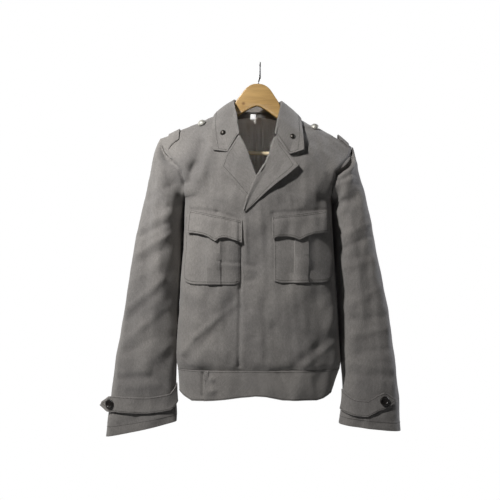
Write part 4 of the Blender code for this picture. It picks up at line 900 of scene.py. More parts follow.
def wool_serge(name, colour):
    """Wool serge: fine steep twill under a raised nap, so it is matt, soft-edged and faintly mottled."""
    material, tree, shader = new_material(name)
    base = colour[:3]
    place = add(tree, "ShaderNodeTexCoord")
    cloth = add(tree, "ShaderNodeMapping", {"Scale": (1.0, 0.45, 1.0)}, {"Vector": place.outputs["UV"]})
    # Nap clumps about 3 mm across, and single hairs at 0.8 mm, drawn coarser than real so they show
    clump = add(tree, "ShaderNodeTexNoise", {"Scale": 300.0, "Detail": 4.0, "Roughness": 0.65},
                {"Vector": cloth.outputs[0]})
    hair = add(tree, "ShaderNodeTexNoise", {"Scale": 1250.0, "Detail": 2.0, "Roughness": 0.7},
               {"Vector": cloth.outputs[0]})
    patch = add(tree, "ShaderNodeTexNoise", {"Scale": 9.0, "Detail": 3.0, "Roughness": 0.55},
                {"Vector": place.outputs["Object"]})
    twill_way = add(tree, "ShaderNodeMapping", {"Rotation": (0.0, 0.0, math.radians(62))},
                    {"Vector": place.outputs["UV"]})
    # Twill lines 2.4 mm apart; the real ones are under 1 mm
    twill = add(tree, "ShaderNodeTexWave", {"Scale": 130.0, "Distortion": 1.2, "Detail": 1.0, "Detail Scale": 3.0},
                {"Vector": twill_way.outputs[0]})
    tone = ramp(tree, clump.outputs["Fac"], (
        (0.30, tuple(c * 0.84 for c in base) + (1.0,)),
        (0.50, tuple(base) + (1.0,)),
        (0.72, tuple(min(c * 1.17, 1.0) for c in base) + (1.0,))))
    speckle = ramp(tree, hair.outputs["Fac"], ((0.30, (0.70, 0.70, 0.70, 1.0)), (0.70, (1.28, 1.27, 1.25, 1.0))))
    speckled = add(tree, "ShaderNodeMix", {"Factor": 0.8}, data_type="RGBA", blend_type="MULTIPLY")
    link_mix(tree, speckled, tone, speckle)
    wear = ramp(tree, patch.outputs["Fac"], ((0.32, (0.84, 0.84, 0.85, 1.0)), (0.68, (1.12, 1.11, 1.10, 1.0))))
    worn_tone = add(tree, "ShaderNodeMix", {"Factor": 1.0}, data_type="RGBA", blend_type="MULTIPLY")
    link_mix(tree, worn_tone, speckled.outputs[2], wear)
    line = ramp(tree, twill.outputs["Fac"], ((0.0, (0.90, 0.90, 0.90, 1.0)), (1.0, (1.06, 1.06, 1.06, 1.0))))
    woven = add(tree, "ShaderNodeMix", {"Factor": 1.0}, data_type="RGBA", blend_type="MULTIPLY")
    link_mix(tree, woven, worn_tone.outputs[2], line)
    tree.links.new(woven.outputs[2], shader.inputs["Base Color"])
    relief = add(tree, "ShaderNodeMath", None, {0: hair.outputs["Fac"], 1: twill.outputs["Fac"]}, operation="ADD")
    bump = add(tree, "ShaderNodeBump", {"Strength": 0.55, "Distance": 0.0005}, {"Height": relief.outputs[0]})
    tree.links.new(bump.outputs[0], shader.inputs["Normal"])
    shader.inputs["Roughness"].default_value = 0.92
    shader.inputs["Specular IOR Level"].default_value = 0.2
    shader.inputs["Sheen Weight"].default_value = 0.25
    shader.inputs["Sheen Roughness"].default_value = 0.6
    return material


def link_mix(tree, mix, first, second):
    """Join two colours to a colour mix."""
    tree.links.new(first, mix.inputs[6])
    tree.links.new(second, mix.inputs[7])


def lining_cloth(name, colour):
    """Viscose twill lining: thin and smooth, so its soft folds carry a low sheen."""
    material, tree, shader = new_material(name)
    base = colour[:3]
    place = add(tree, "ShaderNodeTexCoord")
    weave = add(tree, "ShaderNodeTexNoise", {"Scale": 700.0, "Detail": 2.0}, {"Vector": place.outputs["UV"]})
    tone = ramp(tree, weave.outputs["Fac"], ((0.3, tuple(c * 0.75 for c in base) + (1.0,)),
                                             (0.7, tuple(c * 1.25 for c in base) + (1.0,))))
    tree.links.new(tone, shader.inputs["Base Color"])
    bump = add(tree, "ShaderNodeBump", {"Strength": 0.3, "Distance": 0.0003}, {"Height": weave.outputs["Fac"]})
    tree.links.new(bump.outputs[0], shader.inputs["Normal"])
    shader.inputs["Roughness"].default_value = 0.5
    shader.inputs["Sheen Weight"].default_value = 0.2
    return material


def satin_tape_with_painted_glow(name, colour):
    """White satin tape of the bare neck label, with fine cross threads and a faint painted glow."""
    material, tree, shader = new_material(name)
    place = add(tree, "ShaderNodeTexCoord")
    threads = add(tree, "ShaderNodeTexWave", {"Scale": 500.0, "Distortion": 0.3}, {"Vector": place.outputs["Object"]},
                  bands_direction="Z")
    tone = ramp(tree, threads.outputs["Fac"], ((0.0, tuple(c * 0.85 for c in colour[:3]) + (1.0,)), (1.0, colour)))
    tree.links.new(tone, shader.inputs["Base Color"])
    shader.inputs["Roughness"].default_value = 0.55
    # Painted light: the tape glows faintly, so that it still reads white in the shade of the neck
    shader.inputs["Emission Color"].default_value = colour
    shader.inputs["Emission Strength"].default_value = 0.7
    return material


def varnished_pine(name, colour, knot):
    """Varnished pine: straight amber grain, one small knot by the crest, a thin glossy coat."""
    material, tree, shader = new_material(name)
    base = colour[:3]
    place = add(tree, "ShaderNodeTexCoord")
    along = add(tree, "ShaderNodeMapping", {"Scale": (1.0, 3.0, 9.0)}, {"Vector": place.outputs["Object"]})
    ring = add(tree, "ShaderNodeTexNoise", {"Scale": 14.0, "Detail": 4.0, "Roughness": 0.55, "Distortion": 0.4},
               {"Vector": along.outputs[0]})
    # Growth lines about 3 mm apart
    grain = add(tree, "ShaderNodeTexWave", {"Scale": 18.0, "Distortion": 5.0, "Detail": 2.0, "Detail Scale": 1.2},
                {"Vector": along.outputs[0]}, bands_direction="Z")
    tone = ramp(tree, grain.outputs["Fac"], ((0.0, tuple(c * f for c, f in zip(base, (0.80, 0.72, 0.60))) + (1.0,)),
                                             (0.45, colour),
                                             (1.0, tuple(min(c * 1.15, 1) for c in base) + (1.0,))))
    patch = ramp(tree, ring.outputs["Fac"], ((0.3, (0.82, 0.78, 0.72, 1.0)), (0.7, (1.08, 1.07, 1.05, 1.0))))
    body = add(tree, "ShaderNodeMix", {"Factor": 1.0}, data_type="RGBA", blend_type="MULTIPLY")
    link_mix(tree, body, tone, patch)
    away = add(tree, "ShaderNodeVectorMath", {1: knot}, {0: place.outputs["Object"]}, operation="DISTANCE")
    spot = add(tree, "ShaderNodeMapRange", {"From Min": 0.0012, "From Max": 0.0050, "To Min": 0.75, "To Max": 0.0},
               {"Value": away.outputs["Value"]})
    knotted = add(tree, "ShaderNodeMix", None, {0: spot.outputs[0]}, data_type="RGBA", blend_type="MIX")
    knotted.inputs[7].default_value = linear("#7A5230")
    tree.links.new(body.outputs[2], knotted.inputs[6])
    tree.links.new(knotted.outputs[2], shader.inputs["Base Color"])
    bump = add(tree, "ShaderNodeBump", {"Strength": 0.12, "Distance": 0.0003}, {"Height": grain.outputs["Fac"]})
    tree.links.new(bump.outputs[0], shader.inputs["Normal"])
    shader.inputs["Roughness"].default_value = 0.42
    shader.inputs["Coat Weight"].default_value = 0.25
    shader.inputs["Coat Roughness"].default_value = 0.2
    return material


def metal(name, colour, roughness, scratch, metallic=1.0):
    """Plain metal with fine scuffs that break up its gloss."""
    material, tree, shader = new_material(name)
    place = add(tree, "ShaderNodeTexCoord")
    scuff = add(tree, "ShaderNodeTexNoise", {"Scale": scratch, "Detail": 4.0, "Roughness": 0.7},
                {"Vector": place.outputs["Object"]})
    gloss = add(tree, "ShaderNodeMapRange", {"To Min": roughness * 0.7, "To Max": roughness * 1.3},
                {"Value": scuff.outputs["Fac"]})
    tone = ramp(tree, scuff.outputs["Fac"], ((0.3, tuple(c * 0.7 for c in colour[:3]) + (1.0,)), (0.65, colour)))
    tree.links.new(tone, shader.inputs["Base Color"])
    tree.links.new(gloss.outputs[0], shader.inputs["Roughness"])
    shader.inputs["Metallic"].default_value = metallic
    return material


def horn(name, colour):
    """Dark horn of the cuff buttons: brown-black streaks under a worn polish."""
    material, tree, shader = new_material(name)
    place = add(tree, "ShaderNodeTexCoord")
    streak = add(tree, "ShaderNodeTexNoise", {"Scale": 160.0, "Detail": 3.0, "Distortion": 2.0},
                 {"Vector": place.outputs["Object"]})
    tone = ramp(tree, streak.outputs["Fac"], ((0.35, colour), (0.75, tuple(c * 2.6 for c in colour[:3]) + (1.0,))))
    tree.links.new(tone, shader.inputs["Base Color"])
    shader.inputs["Roughness"].default_value = 0.35
    return material


def sewing_thread(name, colour):
    """Spun polyester thread: a little darker than the wool, with a slight twist shine."""
    material, tree, shader = new_material(name)
    place = add(tree, "ShaderNodeTexCoord")
    twist = add(tree, "ShaderNodeTexNoise", {"Scale": 1500.0}, {"Vector": place.outputs["Object"]})
    tone = ramp(tree, twist.outputs["Fac"], ((0.3, tuple(c * 0.7 for c in colour[:3]) + (1.0,)), (0.7, colour)))
    tree.links.new(tone, shader.inputs["Base Color"])
    shader.inputs["Roughness"].default_value = 0.6
    return material


def painted_floor(name, colour):
    """Matt pale studio floor, with the faint unevenness of rolled paint."""
    material, tree, shader = new_material(name)
    place = add(tree, "ShaderNodeTexCoord")
    roller = add(tree, "ShaderNodeTexNoise", {"Scale": 3.0}, {"Vector": place.outputs["Object"]})
    tone = ramp(tree, roller.outputs["Fac"], ((0.0, tuple(c * 0.97 for c in colour[:3]) + (1.0,)), (1.0, colour)))
    tree.links.new(tone, shader.inputs["Base Color"])
    shader.inputs["Roughness"].default_value = 0.9
    return material


def grid_normals(grid, inside, closed=False):
    """Normals of a grid, pointing away from the point inside."""
    if closed:
        wide = np.concatenate([grid[:, -1:], grid, grid[:, :1]], axis=1)
        across = (wide[:, 2:] - wide[:, :-2]) / 2
    else:
        across = np.gradient(grid, axis=1)
    normals = unit(np.cross(across, np.gradient(grid, axis=0)))
    facing = (normals * (grid - np.asarray(inside, float))).sum()
    return normals if facing > 0 else -normals


@functools.lru_cache(maxsize=None)
def waves(size):
    """Seeded directions and phases of the soft waves that rumple cloth, about size apart."""
    rng = np.random.default_rng(RUMPLE_SEED + int(size * 10))
    ways = unit(rng.normal(size=(14, 3))) * (2 * math.pi / (size * rng.uniform(0.7, 1.5, (14, 1))))
    return ways, rng.uniform(0, 2 * math.pi, 14)


def rumple(points, strength=1.0):
    """Small uneven swells and dips all over worn cloth, in millimetres."""
    total = np.zeros(points.shape[:-1])
    for size, height in RUMPLE:
        ways, phases = waves(size)
        total += height * np.sin(points @ ways.T + phases).sum(axis=-1) / math.sqrt(14)
    return total * strength


def worn(grid, normals, front, back, strength=1.0):
    """Grid with the creases of wear pushed along its normals."""
    x, z = grid[..., 0], grid[..., 2]
    facing = np.clip(-normals[..., 1] * 1.6, 0, 1)
    behind = np.clip(normals[..., 1] * 1.6, 0, 1)
    # Less at the sides, so that the sleeves stay just clear of the body
    swell = rumple(grid, strength) * (0.2 + 0.8 * np.clip(np.abs(normals[..., 1]) * 2, 0, 1))
    push = fold_push(x, z, front) * facing + fold_push(x, z, back) * behind + swell
    return grid + normals * push[..., None]


def cut_of(grid, closed=False):
    """Width, length and area of the cut of a piece of cloth, in metres."""
    ring = np.concatenate([grid, grid[:, :1]], axis=1) if closed else grid
    across = np.linalg.norm(np.diff(ring, axis=1), axis=2).sum(axis=1)
    along = np.linalg.norm(np.diff(ring, axis=0), axis=2).sum(axis=0)
    a, b = ring[1:, 1:] - ring[:-1, :-1], ring[1:, :-1] - ring[:-1, 1:]
    area = np.linalg.norm(np.cross(a, b), axis=2).sum() / 2
    width, length = across.max() * MM, along.max() * MM
    return (width, length), min(area * MM * MM, width * length)


def cloth_mesh(name, grid, inside, closed):
    """Mesh of a grid with a UV map in metres along the cloth."""
    rows, columns = grid.shape[:2]
    shape = bmesh.new()
    sheet_map = shape.loops.layers.uv.new("cloth")
    verts = [[shape.verts.new(p * MM) for p in line] for line in grid]
    ring = np.concatenate([grid, grid[:, :1]], axis=1) if closed else grid
    across = np.concatenate([np.zeros((rows, 1)), np.cumsum(np.linalg.norm(np.diff(ring, axis=1), axis=2), 1)], 1)
    across -= across[:, across.shape[1] // 2][:, None]
    along = np.concatenate([np.zeros((1, ring.shape[1])),
                            np.cumsum(np.linalg.norm(np.diff(ring, axis=0), axis=2), 0)], 0)
    for i in range(rows - 1):
        for j in range(columns if closed else columns - 1):
            k = (j + 1) % columns
            face = shape.faces.new((verts[i][j], verts[i][k], verts[i + 1][k], verts[i + 1][j]))
            face.smooth = True
            for loop, (r, c) in zip(face.loops, ((i, j), (i, j + 1), (i + 1, j + 1), (i + 1, j))):
                loop[sheet_map].uv = (across[r, c] * MM, along[r, c] * MM)
    shape.normal_update()
    inside = np.array(inside) * MM
    facing = sum(face.calc_area() * float(np.dot(face.normal, np.array(face.calc_center_median()) - inside))
                 for face in shape.faces)
    if facing < 0:
        bmesh.ops.reverse_faces(shape, faces=shape.faces[:])
    mesh = bpy.data.meshes.new(name)
    shape.to_mesh(mesh)
    shape.free()
    return mesh


def dress(node, grid, thickness, inside, front=FRONT_CREASES, back=BACK_CREASES, strength=1.0, closed=False,
          finish_name="wool", roll=0.7):
    """Cloth piece that stands for a node: worn grid, wall, rounded cut edges and its sheet entry."""
    normals = grid_normals(grid, inside, closed)
    shape = worn(grid, normals, front, back, strength)
    mesh = cloth_mesh("cloth_" + node, shape, inside, closed)
    item = bpy.data.objects.new("cloth_" + node, mesh)
    bpy.context.scene.collection.objects.link(item)
    mesh.materials.append(bpy.data.materials[MATERIAL_OF[finish_name]])
    wall = item.modifiers.new("wall", "SOLIDIFY")
    wall.thickness = thickness * MM
    wall.offset = -1
    edge = item.modifiers.new("rolled edge", "BEVEL")
    edge.width = roll * MM
    edge.segments = 2
    edge.limit_method = "ANGLE"
    edge.angle_limit = math.radians(60)
    place(item, finish_name, node)
    flat, area = cut_of(grid, closed)
    SHEETS[node] = {"item": item, "grid": shape, "normals": grid_normals(shape, inside, closed), "flat": flat,
                    "area": area, "pieces": []}
    return item


def place(item, finish_name, *nodes):
    """Let a piece ride with the tunic and stand for its nodes."""
    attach(item, "root")
    if nodes:
        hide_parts(*nodes)


def plain_mesh(item):
    """Turn an object's evaluated shape into a plain mesh at the origin."""
    graph = bpy.context.evaluated_depsgraph_get()
    mesh = bpy.data.meshes.new_from_object(item.evaluated_get(graph))
    mesh.transform(item.matrix_world)
    name = item.name
    bpy.data.objects.remove(item, do_unlink=True)
    mesh.name = name
    result = bpy.data.objects.new(name, mesh)
    bpy.context.scene.collection.objects.link(result)
    return result


def sample(node, u, v, lift=0.0):
    """Point over a dressed piece at shares u across and v along its grid."""
    grid, normals = SHEETS[node]["grid"], SHEETS[node]["normals"]
    rows, columns = grid.shape[:2]
    y, x = np.clip(v, 0, 1) * (rows - 1), np.clip(u, 0, 1) * (columns - 1)
    i, j = min(int(y), rows - 2), min(int(x), columns - 2)
    a, b = y - i, x - j
    weights = ((1 - a) * (1 - b), (1 - a) * b, a * (1 - b), a * b)
    corners = ((i, j), (i, j + 1), (i + 1, j), (i + 1, j + 1))
    point = sum(w * grid[c] for w, c in zip(weights, corners))
    normal = unit(sum(w * normals[c] for w, c in zip(weights, corners)))
    return point + normal * lift


def sew(node, path, steps=40):
    """Row of stitches along a path of (u, v) shares on a dressed piece."""
    path = np.array(path, float)
    spread = at_run(path, np.linspace(0, run_of(path)[-1], steps))
    LINES.setdefault(node, []).append(np.array([sample(node, u, v, 0.12) for u, v in spread]))


def stitch_shape():
    """One stitch, 1 long and 1 thick, along X, as a blunt six-sided thread."""
    shape = bmesh.new()
    bmesh.ops.create_cone(shape, cap_ends=True, cap_tris=False, segments=6, radius1=0.5, radius2=0.5, depth=0.6)
    rings = bmesh.ops.extrude_discrete_faces(shape, faces=[f for f in shape.faces if len(f.verts) == 6])
    for face in rings["faces"]:
        middle = face.calc_center_median()
        for vert in face.verts:
            vert.co = middle + (vert.co - middle) * 0.45
            vert.co.z += math.copysign(0.2, middle.z)
    bmesh.ops.remove_doubles(shape, verts=shape.verts[:], dist=1e-5)
    bmesh.ops.rotate(shape, verts=shape.verts[:], cent=(0, 0, 0), matrix=Matrix.Rotation(math.pi / 2, 3, "Y"))
    bmesh.ops.recalc_face_normals(shape, faces=shape.faces[:])
    mesh = bpy.data.meshes.new("stitch")
    shape.to_mesh(mesh)
    shape.free()
    return bpy.data.objects.new("stitch", mesh)


def stitch_tree(thread):
    """Geometry nodes that lay stitches along the lines of a mesh."""
    tree = bpy.data.node_groups.new("Stitch rows", "GeometryNodeTree")
    face = tree.interface
    face.new_socket("Geometry", in_out="INPUT", socket_type="NodeSocketGeometry")
    for name, value in (("Spacing", 0.003), ("Length", 0.0023), ("Thickness", 0.0005)):
        face.new_socket(name, in_out="INPUT", socket_type="NodeSocketFloat").default_value = value
    face.new_socket("Seed", in_out="INPUT", socket_type="NodeSocketInt").default_value = 3
    face.new_socket("Stitch", in_out="INPUT", socket_type="NodeSocketObject")
    face.new_socket("Geometry", in_out="OUTPUT", socket_type="NodeSocketGeometry")
    given = add(tree, "NodeGroupInput")
    rows = add(tree, "GeometryNodeMeshToCurve", None, {"Mesh": given.outputs["Geometry"]})
    spaced = add(tree, "GeometryNodeResampleCurve", None,
                 {"Curve": rows.outputs[0], "Length": given.outputs["Spacing"]}, mode="LENGTH")
    way = add(tree, "GeometryNodeInputTangent")
    turn = add(tree, "FunctionNodeAlignRotationToVector", None, {"Vector": way.outputs[0]}, axis="X")
    shape = add(tree, "GeometryNodeObjectInfo", None, {"Object": given.outputs["Stitch"]})
    laid = add(tree, "GeometryNodeInstanceOnPoints", None,
               {"Points": spaced.outputs[0], "Instance": shape.outputs["Geometry"], "Rotation": turn.outputs[0]})
    uneven = add(tree, "FunctionNodeRandomValue", {2: 0.85, 3: 1.12}, {"Seed": given.outputs["Seed"]},
                 data_type="FLOAT")
    long = add(tree, "ShaderNodeMath", None, {0: given.outputs["Length"], 1: uneven.outputs[1]},
               operation="MULTIPLY")
    size = add(tree, "ShaderNodeCombineXYZ", None,
               {"X": long.outputs[0], "Y": given.outputs["Thickness"], "Z": given.outputs["Thickness"]})
    sized = add(tree, "GeometryNodeScaleInstances", None, {"Instances": laid.outputs[0], "Scale": size.outputs[0]})
    real = add(tree, "GeometryNodeRealizeInstances", None, {"Geometry": sized.outputs[0]})
    coloured = add(tree, "GeometryNodeSetMaterial", None, {"Geometry": real.outputs[0]})
    coloured.inputs["Material"].default_value = thread
    add(tree, "NodeGroupOutput", None, {"Geometry": coloured.outputs[0]})
    return tree


def set_input(modifier, name, value):
    """Set a geometry node input by the identifier of the socket with that name."""
    for socket in modifier.node_group.interface.items_tree:
        if socket.item_type == "SOCKET" and socket.in_out == "INPUT" and socket.name == name:
            modifier[socket.identifier] = value


def lay_stitches(node, lines, tree, stitch, sizes):
    """Stitches along the lines sewn on one piece, as a plain mesh that rides with it."""
    mesh = bpy.data.meshes.new("stitches_" + node)
    verts, edges = [], []
    for line in lines:
        edges += [(len(verts) + i, len(verts) + i + 1) for i in range(len(line) - 1)]
        verts += [tuple(p * MM) for p in line]
    mesh.from_pydata(verts, edges, [])
    item = bpy.data.objects.new("stitches_" + node, mesh)
    bpy.context.scene.collection.objects.link(item)
    rows = item.modifiers.new("stitch rows", "NODES")
    rows.node_group = tree
    set_input(rows, "Spacing", sizes.stitch_spacing)
    set_input(rows, "Length", sizes.stitch_length)
    set_input(rows, "Thickness", sizes.stitch_width)
    set_input(rows, "Stitch", stitch)
    result = plain_mesh(item)
    place(result, "wool")
    SHEETS[node]["pieces"].append(result)


def turned_piece(name, profile, place_at, normal, finish_name, steps=48):
    """Turned piece from a profile of (radius, height), its flat back set at a place."""
    mesh = bpy.data.meshes.new(name)
    shape = bmesh.new()
    verts = [shape.verts.new((r * MM, 0, h * MM)) for r, h in profile]
    edges = [shape.edges.new(pair) for pair in zip(verts, verts[1:])]
    bmesh.ops.spin(shape, geom=verts + edges, axis=(0, 0, 1), cent=(0, 0, 0), angle=2 * math.pi, steps=steps,
                   use_merge=True)
    bmesh.ops.remove_doubles(shape, verts=shape.verts[:], dist=1e-6)
    bmesh.ops.recalc_face_normals(shape, faces=shape.faces[:])
    bmesh.ops.transform(shape, matrix=Matrix(stand_on(place_at, normal)), verts=shape.verts[:])
    shape.to_mesh(mesh)
    shape.free()
    mesh.shade_smooth()
    item = bpy.data.objects.new(name, mesh)
    bpy.context.scene.collection.objects.link(item)
    mesh.materials.append(bpy.data.materials[MATERIAL_OF[finish_name]])
    return item


def stand_on(place_at, normal):
    """Rows of the matrix that stands a piece with its Z along a normal at a place in millimetres."""
    z = unit(np.array(normal, float))
    x = unit(np.cross((0.0, 0.0, 1.0) if abs(z[2]) < 0.9 else (1.0, 0.0, 0.0), z))
    y = np.cross(z, x)
    return [[float(x[i]), float(y[i]), float(z[i]), float(place_at[i]) * MM] for i in range(3)] + [[0, 0, 0, 1]]


def smooth_profile(profile, steps=6):
    """Profile with rounded steps between its points, ends kept."""
    points = np.array(profile, float)
    for _ in range(2):
        inner = np.concatenate([[points[0]], *[np.array([a * 0.75 + b * 0.25, a * 0.25 + b * 0.75])
                                               for a, b in zip(points, points[1:])], [points[-1]]])
        points = inner
    return points


MATERIAL_OF = {
    "wool": "Wool serge",
    "lining": "Viscose lining",
    "label": "Woven satin tape",
    "beech": "Varnished pine",
    "dowel": "Pale dowel",
    "steel": "Bright steel wire",
    "pewter": "Dull silver plate",
    "dark_horn": "Polished dark horn",
    "stud": "Darkened brass",
}


def colour_prop(label, description, code):
    """Colour property with an sRGB hex default."""
    return bpy.props.FloatVectorProperty(name=label, description=description, subtype="COLOR", size=4, min=0, max=1,
                                         default=linear(code))


class TunicCloth(bpy.types.PropertyGroup):
    """Colours and sizes of the cloth and its sewing."""

    wool_colour: colour_prop("Wool", "Main colour of the serge", "#8A8886")
    # The lining's default is near white, far paler than its own dark grey-brown: painted light that stands in for the
    # light which hardly reaches inside the neck
    lining_colour: colour_prop("Lining", "Colour of the lining in the neck", "#DEDBD7")
    label_colour: colour_prop("Label", "Colour of the bare neck label", "#FFFFFF")
    thread_colour: colour_prop("Thread", "Colour of the stitches", "#34312F")
    wool_thickness: bpy.props.FloatProperty(name="Wool thickness", description="Thickness of the serge", default=0.002,
                                            min=0.001, max=0.003, unit="LENGTH")
    stitch_spacing: bpy.props.FloatProperty(name="Stitch spacing", description="From one stitch to the next",
                                            default=0.003, min=0.002, max=0.006, unit="LENGTH")
    stitch_length: bpy.props.FloatProperty(name="Stitch length", description="Thread that shows of each stitch",
                                           default=0.0023, min=0.001, max=0.005, unit="LENGTH")
    stitch_width: bpy.props.FloatProperty(name="Stitch width", description="Thickness of the thread",
                                          default=0.0009, min=0.0002, max=0.001, unit="LENGTH")


class TunicTrim(bpy.types.PropertyGroup):
    """Colours of the buttons and of the hanger."""

    horn_colour: colour_prop("Horn", "Colour of the cuff buttons", "#1B1918")
    silver_colour: colour_prop("Silver", "Colour of the shoulder buttons", "#CFCFC8")
    stud_colour: colour_prop("Stud", "Colour of the collar studs", "#5A5753")
    wood_colour: colour_prop("Wood", "Colour of the hanger", "#C9A76D")
    bar_colour: colour_prop("Bar", "Colour of the trouser bar", "#F3E4C6")
    wire_colour: colour_prop("Wire", "Colour of the hook", "#77777A")


class TUNIC_OT_finishes(bpy.types.Operator):
    """Make the cloth, thread, metal, horn and wood finishes"""

    bl_idname = "tunic.finishes"
    bl_label = "Finishes"

    def execute(self, context):
        cloth, trim = context.scene.tunic_cloth, context.scene.tunic_trim
        wool_serge(MATERIAL_OF["wool"], tuple(cloth.wool_colour))
        lining_cloth(MATERIAL_OF["lining"], tuple(cloth.lining_colour))
        satin_tape_with_painted_glow(MATERIAL_OF["label"], tuple(cloth.label_colour))
        sewing_thread("Sewing thread", tuple(cloth.thread_colour))
        varnished_pine(MATERIAL_OF["beech"], tuple(trim.wood_colour), (-0.0355, -0.006, -0.087))
        varnished_pine(MATERIAL_OF["dowel"], tuple(trim.bar_colour), (0.0, 0.0, 1.0))
        metal(MATERIAL_OF["steel"], tuple(trim.wire_colour), 0.3, 300.0)
        metal(MATERIAL_OF["pewter"], tuple(trim.silver_colour), 0.55, 500.0, 0.55)
        metal(MATERIAL_OF["stud"], tuple(trim.stud_colour), 0.45, 700.0)
        horn(MATERIAL_OF["dark_horn"], tuple(trim.horn_colour))
        return {"FINISHED"}


# Rows of the fine grids below the armpit, on a front and on the back
FRONT_BELOW, BACK_BELOW = 100, 88


def wool_wall(context):
    """Thickness of the serge that the panel sets, in millimetres."""
    return context.scene.tunic_cloth.wool_thickness / MM


class TUNIC_OT_body(bpy.types.Operator):
    """Back and front panels of the body"""

    bl_idname = "tunic.body"
    bl_label = "Body panels"

    def execute(self, context):
        inside, wool = (CENTRE_X, 0, -400), wool_wall(context)
        for name in ("front_right", "front_left"):
            dress(name, front_panel(name, FRONT_BELOW, 70, 96), wool, inside)
        dress("back", back_panel(BACK_BELOW, 60, 130), wool, inside)
        return {"FINISHED"}


class TUNIC_OT_collar(bpy.types.Operator):
    """Lapels and folded collar"""

    bl_idname = "tunic.collar"
    bl_label = "Lapels and collar"

    def execute(self, context):
        for name, front in (("lapel_right", "front_right"), ("lapel_left", "front_left")):
            dress(name, lapel_grid(name, FACES[front], 40, (3, 12, 30)), FACING, (CENTRE_X, 300, -250),
                  COLLAR_CREASES, strength=0.5)
        dress("collar", collar_grid(np.linspace(-1, 1, 121), (6, 12, 24)), FACING, (CENTRE_X, 0, -190),
              COLLAR_CREASES, strength=0.5)
        return {"FINISHED"}


class TUNIC_OT_sleeves(bpy.types.Operator):
    """Two sleeves, open at armhole and cuff"""

    bl_idname = "tunic.sleeves"
    bl_label = "Sleeves"

    def execute(self, context):
        around = np.linspace(0, 1, 117)[:-1]
        levels = np.concatenate([np.linspace(0, 1, 5)[:-1], np.linspace(1, 10, 170)])
        for name in SLEEVES:
            side = -1 if name == "sleeve_right" else 1
            grid = sleeve_surface(name, around, levels)
            dress(name, grid, wool_wall(context), (side * 215, 0, -400), SLEEVE_CREASES, BACK_CREASES, closed=True)
        return {"FINISHED"}


class TUNIC_OT_pockets(bpy.types.Operator):
    """Patch pockets with box pleats, and their scalloped flaps"""

    bl_idname = "tunic.pockets"
    bl_label = "Pockets"

    def execute(self, context):
        inside = (CENTRE_X, 0, -400)
        for side in POCKETS:
            surface = FACES["front_" + side]
            dress("pocket_" + side, pocket_grid(side, surface, 40), POCKET_CLOTH, inside)
            dress("pocket_flap_" + side, flap_grid(side, surface, 56, 14), wool_wall(context), inside)
        return {"FINISHED"}


class TUNIC_OT_waistband(bpy.types.Operator):
    """Waistband, lapped at the front"""

    bl_idname = "tunic.waistband"
    bl_label = "Waistband"

    def execute(self, context):
        dress("waistband", band_grid(420, 24), wool_wall(context), (CENTRE_X, 0, -680), strength=0.7)
        return {"FINISHED"}


class TUNIC_OT_cuff_straps(bpy.types.Operator):
    """Pointed cuff straps and their horn buttons"""

    bl_idname = "tunic.cuff_straps"
    bl_label = "Cuff straps"

    def execute(self, context):
        for name in CUFF_TABS:
            side = -1 if name == "cuff_tab_right" else 1
            grid = tab_grid(name, 48, 10)
            dress(name, grid, TAB_CLOTH, (side * 235, 300, -720), SLEEVE_CREASES, strength=0.9)
            button = name.replace("tab", "button")
            shape, normals = SHEETS[name]["grid"], SHEETS[name]["normals"]
            i = int(CUFF_BUTTON_PLACE[button] * 48)
            four_hole_button(button, shape[5, i] + normals[5, i] * 0.8, normals[5, i])
        return {"FINISHED"}


def four_hole_button(node, place_at, normal):
    """Horn button with a raised rim and a dished middle, and thread showing at its four holes."""
    profile = ((0.0, 3.1), (4.4, 3.1), (5.6, 3.5), (6.6, 4.6), (8.4, 4.9), (9.7, 4.2), (10.0, 2.6), (9.4, 0.8),
               (8.2, 0.0), (0.0, 0.0))
    disc = turned_piece(node + "_disc", smooth_profile(profile), place_at, normal, "dark_horn")
    matrix = Matrix(stand_on(place_at, normal))
    shape = bmesh.new()
    for x, y in ((-1.5, -1.5), (1.5, -1.5), (-1.5, 1.5), (1.5, 1.5)):
        made = bmesh.ops.create_cone(shape, cap_ends=True, segments=14, radius1=0.85 * MM, radius2=0.85 * MM,
                                     depth=0.5 * MM)
        bmesh.ops.translate(shape, verts=made["verts"], vec=(x * MM, y * MM, 3.05 * MM))
    hole_mesh = bpy.data.meshes.new(node + "_holes")
    shape.transform(matrix)
    shape.to_mesh(hole_mesh)
    shape.free()
    holes = bpy.data.objects.new(node + "_holes", hole_mesh)
    bpy.context.scene.collection.objects.link(holes)
    hole_mesh.materials.append(bpy.data.materials["Sewing thread"])
    place(holes, "dark_horn")
    place(disc, "dark_horn", node)
    SHEETS[node.replace("button", "tab")]["pieces"] += [disc, holes]


class TUNIC_OT_buttons(bpy.types.Operator):
    """Silver shoulder buttons and dark collar studs"""

    bl_idname = "tunic.buttons"
    bl_label = "Buttons and studs"

    def execute(self, context):
        for name, x in SHOULDER_BUTTON_X.items():
            sheet = "front_right" if x < CENTRE_X else "front_left"
            here, normal = on_grid(SHEETS[sheet]["grid"][FRONT_BELOW:], x, SHOULDER_BUTTON_Y, (0, 1, 2), 1)
            button = turned_piece(name + "_dome", smooth_profile(SHOULDER_BUTTON), here + normal * 0.6, normal,
                                  "pewter")
            place(button, "pewter", name)
            SHEETS[sheet]["pieces"].append(button)
        for name, (x, z) in COLLAR_STUD_PLACE.items():
            here, normal = on_grid(SHEETS["collar"]["grid"], x, z, (0, 2, 1), -1)
            stud = turned_piece(name + "_dome", smooth_profile(COLLAR_STUD), here + normal * 0.4, normal, "stud", 32)
            place(stud, "stud", name)
            SHEETS["collar"]["pieces"].append(stud)
        return {"FINISHED"}


